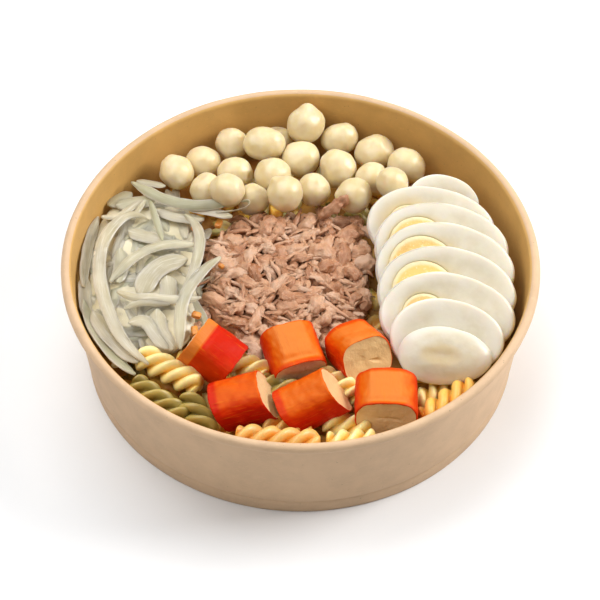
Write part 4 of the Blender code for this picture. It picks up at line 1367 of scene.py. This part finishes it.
# %% Ribbons that fill the heap
LOW_RIBBONS = 66
LOW_REACH = (19, 36)
LOW_LIFT = 7.2
ROUTE_WALL = 82
ROUTE_RIGHT = -35
RIBBON_SEED = 5
draw = random.Random(RIBBON_SEED)
for number in range(LOW_RIBBONS):
    angle, reach = draw.uniform(0, 2 * math.pi), math.sqrt(draw.random())
    reach /= spread_of(math.cos(angle), math.sin(angle))
    x = ONION_MIDDLE[0] + LOW_REACH[0] * reach * math.cos(angle)
    y = ONION_MIDDLE[1] + LOW_REACH[1] * reach * math.sin(angle)
    heading, bow = draw.uniform(0, 2 * math.pi), draw.uniform(-6, 6)
    half = draw.uniform(9, 16)
    route = []
    for share in (-1, -0.4, 0.4, 1):
        along, aside = half * share, bow * (1 - share * share)
        px = x + along * math.cos(heading) - aside * math.sin(heading)
        py = y + along * math.sin(heading) + aside * math.cos(heading)
        room = min(1, ROUTE_WALL / math.hypot(px, py))
        px, py = px * room, py * room
        spread = spread_of((px - ONION_MIDDLE[0]) / ONION_HALF[0],
                           (py - ONION_MIDDLE[1]) / ONION_HALF[1])
        lift = LOW_LIFT * max(0.05, 1 - spread ** 2) ** 0.3
        route.append((min(px, ROUTE_RIGHT), py, bed_height(py) + lift + draw.uniform(-0.4, 1.3)))
    strips.append(lay_strip(f"low_strip_{number}", route, draw.uniform(3.6, 6.4),
                            (draw.uniform(-20, 20), draw.uniform(-20, 20)), 12))
onion = join_all("onion_strips", strips)
ruffle(onion, 9, 0.8)
apply_modifiers(onion)
print("ribbons in the heap:", len(strips))

# %% [markdown]
# Light partly passes through raw onion, and its surface is wet. So its finish mixes some
# transmission with light that spreads inside, below a clear coat. Veins follow the grain
# along each ribbon, their pale streaks partly painted sheen; the edges are white, partly
# painted highlight; and every ribbon is a little more or less green.

# %% Onion finish
glassy = new_finish("raw_onion", 0.30, (0.5, 2.5, (1.0, 0.95, 0.8)), (0.25, 0.2),
                    {"Transmission Weight": 0.42, "IOR": 1.36})
veins_and_sheen = noise(glassy, 0.6, 2, (16, 1, 1), own_value(glassy, "grain", "Vector"))
middle_tone = clouds(glassy, 10, (0.64, 0.56, 0.37), (0.76, 0.69, 0.51))
# Pale vein streaks: real veins and painted sheen along the ribbons.
middle_tone = mix(glassy, mask(glassy, veins_and_sheen, 0.48, 0.68), middle_tone, (0.84, 0.77, 0.61))
green = mask(glassy, own_value(glassy, "green"), 0.3, 1.4)
middle_tone = mix(glassy, green, middle_tone, (0.50, 0.50, 0.30))
# White edges: partly real, partly painted highlight.
edge_and_highlight_share = mask(glassy, own_value(glassy, "across"), 0.62, 1.0)
plug(glassy, "Base Color", mix(glassy, edge_and_highlight_share, middle_tone, (0.88, 0.81, 0.67)))
relief(glassy, veins_and_sheen, 0.08)
dress(onion, [glassy], "onion", "onion_heap")

below = new_finish("onion_depth", 0.35, (0.3, 2, (1.0, 0.9, 0.5)))
plug(below, "Base Color", clouds(below, 6, (0.60, 0.53, 0.34), (0.70, 0.63, 0.45)))
dress(onion_core, [below], "onion", "onion_heap")

# %% [markdown]
# ## The tuna
# Canned tuna falls into clumps, and each clump into thin curled flakes with torn ends. A
# squarish mound gives the heap its body. A few kinds of clump and flake are shaped once
# and copied many times over the mound, each copy turned and sized another way. When all
# are joined, two displacements follow their places, so that no two copies stay alike.

# %% Mound below the flakes
TUNA_MIDDLE = (-4.8, 5.2)
TUNA_HALF = (32.4, 30.2)
TUNA_HEIGHT = 7.5
tuna_core = mound("tuna_core", TUNA_MIDDLE, (31.8, 29.6), TUNA_HEIGHT - 2)
ruffle(tuna_core, 4, 2.5)
apply_modifiers(tuna_core)
print("tuna core is", round(tuna_core.dimensions.z / MM, 1), "mm high")


# %% Kinds of clump and flake
def flake_kind(name, sizes, seed, count, rings, bend):
    """A torn bundle of fibres along Z: half length, width and depth, and how it curls."""
    half_length, half_width, half_depth = sizes
    draw = random.Random(seed)
    steps = []
    for i in range(rings):
        share = 2 * i / (rings - 1) - 1
        swell = max(0.30, math.sqrt(1 - 0.88 * share * share)) * draw.uniform(0.78, 1.12)
        steps.append((share * half_length, half_width * swell, half_depth * swell,
                      draw.uniform(-0.25, 0.25) * half_width))
    flake = draw_up(name, circle(count), steps)
    bpy.ops.object.mode_set(mode="EDIT")
    bpy.ops.mesh.select_all(action="SELECT")
    bpy.ops.transform.vertex_random(offset=0.32 * MM, uniform=0.6, normal=0.4, seed=seed)
    bpy.ops.object.mode_set(mode="OBJECT")
    first, second = draw.uniform(0, 6.28), draw.uniform(0, 6.28)
    for vertex in flake.data.vertices:
        x, y, z = vertex.co / MM
        angle = math.atan2(y / half_depth, x / half_width)
        strands = 1 + 0.13 * math.sin(6 * angle + first + 0.35 * z)
        strands += 0.09 * math.sin(9 * angle + second - 0.5 * z)
        vertex.co = Vector((x * strands, y * strands - bend * z * z, z)) * MM
    note_grain(flake)
    return flake


CLUMPS = ((6.4, 2.9, 2.2), (5.0, 3.4, 2.5), (7.6, 2.4, 1.9), (5.8, 2.7, 1.8), (4.4, 2.9, 2.2))
SHREDS = ((5.6, 0.8, 0.5), (4.4, 1.1, 0.55), (6.6, 0.7, 0.45), (3.4, 1.1, 0.6), (5.0, 0.9, 0.5))
clump_kinds = [flake_kind(f"clump_{seed}", sizes, seed, 20, 10, 0.03)
               for seed, sizes in enumerate(CLUMPS, 1)]
shred_kinds = [flake_kind(f"shred_{seed}", sizes, seed, 8, 8, 0.05)
               for seed, sizes in enumerate(SHREDS, 11)]
for kind in clump_kinds:
    soften(kind)
    apply_modifiers(kind)
print("kinds of clump and flake:", len(clump_kinds) + len(shred_kinds))

# %% [markdown]
# Each next piece is set the golden angle further round and a little further out, as seeds
# lie in a sunflower. That covers the mound evenly without rows. Turn, tilt and size are
# drawn at random. A few more clumps lie spilled round the heap.

# %% Spread them over the mound
GOLDEN_ANGLE = math.radians(137.5)
TUNA_SEED = 21


def flake_place(number, total, draw, lift, tilt):
    """A place on the mound, with a random heading and tilt."""
    angle = number * GOLDEN_ANGLE
    reach = math.sqrt((number + 0.5) / total) * 0.95
    spread = reach / spread_of(math.cos(angle), math.sin(angle))
    x = TUNA_MIDDLE[0] + TUNA_HALF[0] * spread * math.cos(angle)
    y = TUNA_MIDDLE[1] + TUNA_HALF[1] * spread * math.sin(angle)
    z = bed_height(y) + TUNA_HEIGHT * (1 - reach * reach) ** 0.3 + draw.uniform(*lift)
    turn = Matrix.Rotation(draw.uniform(0, 2 * math.pi), 4, "Z")
    turn @= Matrix.Rotation(math.pi / 2 + draw.uniform(-tilt, tilt), 4, "X")
    turn @= Matrix.Rotation(draw.uniform(-0.6, 0.6), 4, "Z")
    return Matrix.Translation(Vector((x, y, z)) * MM) @ turn


SPILLS = ((-17, -30), (-19.5, -26), (-14, -27), (-23, -23), (-17.5, -35), (9.5, -26), (12, -22),
          (30, -22), (-38, -13), (-39.5, -20), (-37, -6), (2, 36), (9, 37.5), (16, 35.5), (22, 34),
          (-4, 35), (-16, 35), (-22, 34), (27, 30), (-38, 20))
draw = random.Random(TUNA_SEED)
groups = {}
for group, kinds, total, lift, tilt in (("clumps", clump_kinds, 88, (-1.6, 0.7), 0.45),
                                        ("shreds", shred_kinds, 190, (-0.2, 1.3), 0.30)):
    groups[group] = []
    for number in range(total):
        flake = copy_of(kinds[number % len(kinds)], f"{group}_{number}")
        place = flake_place(number, total, draw, lift, tilt)
        flake.matrix_world = place @ Matrix.Scale(draw.uniform(0.8, 1.25), 4)
        note(flake, "tone", draw.random())
        groups[group].append(flake)
for number, (x, y) in enumerate(SPILLS):
    flake = copy_of(clump_kinds[number % len(clump_kinds)], f"spill_{number}")
    turn = Matrix.Rotation(draw.uniform(0, 6), 4, "Z") @ Matrix.Rotation(math.pi / 2, 4, "X")
    flake.matrix_world = Matrix.Translation(over_bed(x, y, 1.5)) @ turn
    note(flake, "tone", draw.random())
    groups["clumps"].append(flake)
for kind in clump_kinds + shred_kinds:
    bpy.data.objects.remove(kind)
clumps = join_all("tuna_clumps", groups["clumps"])
ruffle(clumps, 2.6, 2.0)
ruffle(clumps, 0.9, 0.9)
apply_modifiers(clumps)
shreds = join_all("tuna_shreds", groups["shreds"])
ruffle(shreds, 1.5, 0.9)
apply_modifiers(shreds)
print("clumps:", len(groups["clumps"]), "flakes:", len(groups["shreds"]))

# %% [markdown]
# One long flake leans on the pearls at the back, browned at its tip. Small bits lie
# about as well: a cube of sweet corn behind the tuna and some crumbs of carrot.

# %% The leaning flake and the small bits
leaning = flake_kind("leaning_flake", (7.4, 2.9, 2.0), 31, 14, 12, 0.01)
lay_between(leaning, Vector((7.5, 31.5, 38.5)) * MM, Vector((18.5, 37, 45)) * MM, 1.2)
soften(leaning)
ruffle(leaning, 2, 1.6)
apply_modifiers(leaning)
note(leaning, "tone", [0.45 - 0.1 * max(0, v.co.z / MM - 41) for v in leaning.data.vertices])
BITS = (
    ("corn", (-9.8, 34.6, 39.4), (2.0, 2.0, 2.0), 20),
    ("carrot", (-41, 26, 37.2), (1.5, 2.4, 1.0), 40),
    ("carrot", (-32.5, 28.5, 38), (1.2, 1.8, 1.0), -20),
    ("carrot", (-40, -17, 36), (1.2, 1.8, 1.0), 70),
    ("carrot", (-40.5, -24, 34.6), (1.3, 2.2, 1.2), 10),
    ("carrot", (-31, 6, 38.6), (0.8, 1.2, 0.7), 50),
)
bits = {"corn": [], "carrot": []}
for number, (kind, place, half, turn) in enumerate(BITS):
    pick()
    bpy.ops.mesh.primitive_cube_add(size=2)
    bit = name_new(f"bit_{number}")
    bpy.ops.object.mode_set(mode="EDIT")
    bpy.ops.mesh.select_all(action="SELECT")
    bpy.ops.mesh.subdivide(number_cuts=4)
    bpy.ops.transform.tosphere(value=0.35)
    bpy.ops.transform.vertex_random(offset=0.09, seed=number)
    bpy.ops.object.mode_set(mode="OBJECT")
    place = Matrix.Translation(Vector(place) * MM) @ Matrix.Rotation(math.radians(turn), 4, "Z")
    settle(bit, place @ Matrix.Diagonal((*(Vector(half) * MM), 1)))
    soften(bit)
    apply_modifiers(bit)
    bits[kind].append(bit)
print("bits:", len(BITS))

# %% [markdown]
# Cooked tuna is beige to pink on the flakes, with pale fibres that run along each flake;
# the mound below, seen in the folds, is painted dark brown as painted shade. Every flake
# notes a tone of its own, which shifts its clouds a little. Corn and carrot are plain,
# with softly spread light.

# %% Finishes of the tuna and the bits
fish = new_finish("tuna", 0.46, (0.12, 1.0, (1.0, 0.5, 0.3)), (0.18, 0.28))
fibres = noise(fish, 0.42, stretch=(1, 1, 11), place=own_value(fish, "grain", "Vector"))
fish_share = scaled_sum(fish, own_value(fish, "tone"), 0.5, noise(fish, 6, 4))
fish_colour = ramp(fish, fish_share, (
    (0.42, (0.32, 0.110, 0.030)), (0.62, (0.47, 0.215, 0.105)),
    (0.80, (0.58, 0.310, 0.170)), (0.98, (0.62, 0.380, 0.245))))
fish_colour = mix(fish, mask(fish, fibres, 0.52, 0.78), fish_colour, (0.68, 0.42, 0.255))
plug(fish, "Base Color", fish_colour)
relief(fish, fibres, 0.55)
for heap in (clumps, shreds, leaning):
    dress(heap, [fish], "tuna", "tuna_heap")

# The mound's dark brown is painted shade in the folds of the heap.
fish_depth_shade = new_finish("tuna_depth_shade", 0.6)
plug(fish_depth_shade, "Base Color", clouds(fish_depth_shade, 3, (0.20, 0.060, 0.018), (0.46, 0.22, 0.10)))
dress(tuna_core, [fish_depth_shade], "tuna", "tuna_heap")
for kind, pale, deep in (("corn", (0.92, 0.62, 0.12), (0.88, 0.42, 0.04)),
                         ("carrot", (0.80, 0.34, 0.05), (0.60, 0.20, 0.03))):
    vegetable = new_finish(kind, 0.35, (0.3, 1.5, (1.0, 0.6, 0.2)))
    plug(vegetable, "Base Color", clouds(vegetable, 1.5, deep, pale))
    dress(join_all(kind + "_bits", bits[kind]), [vegetable], "tuna", "tuna_heap")
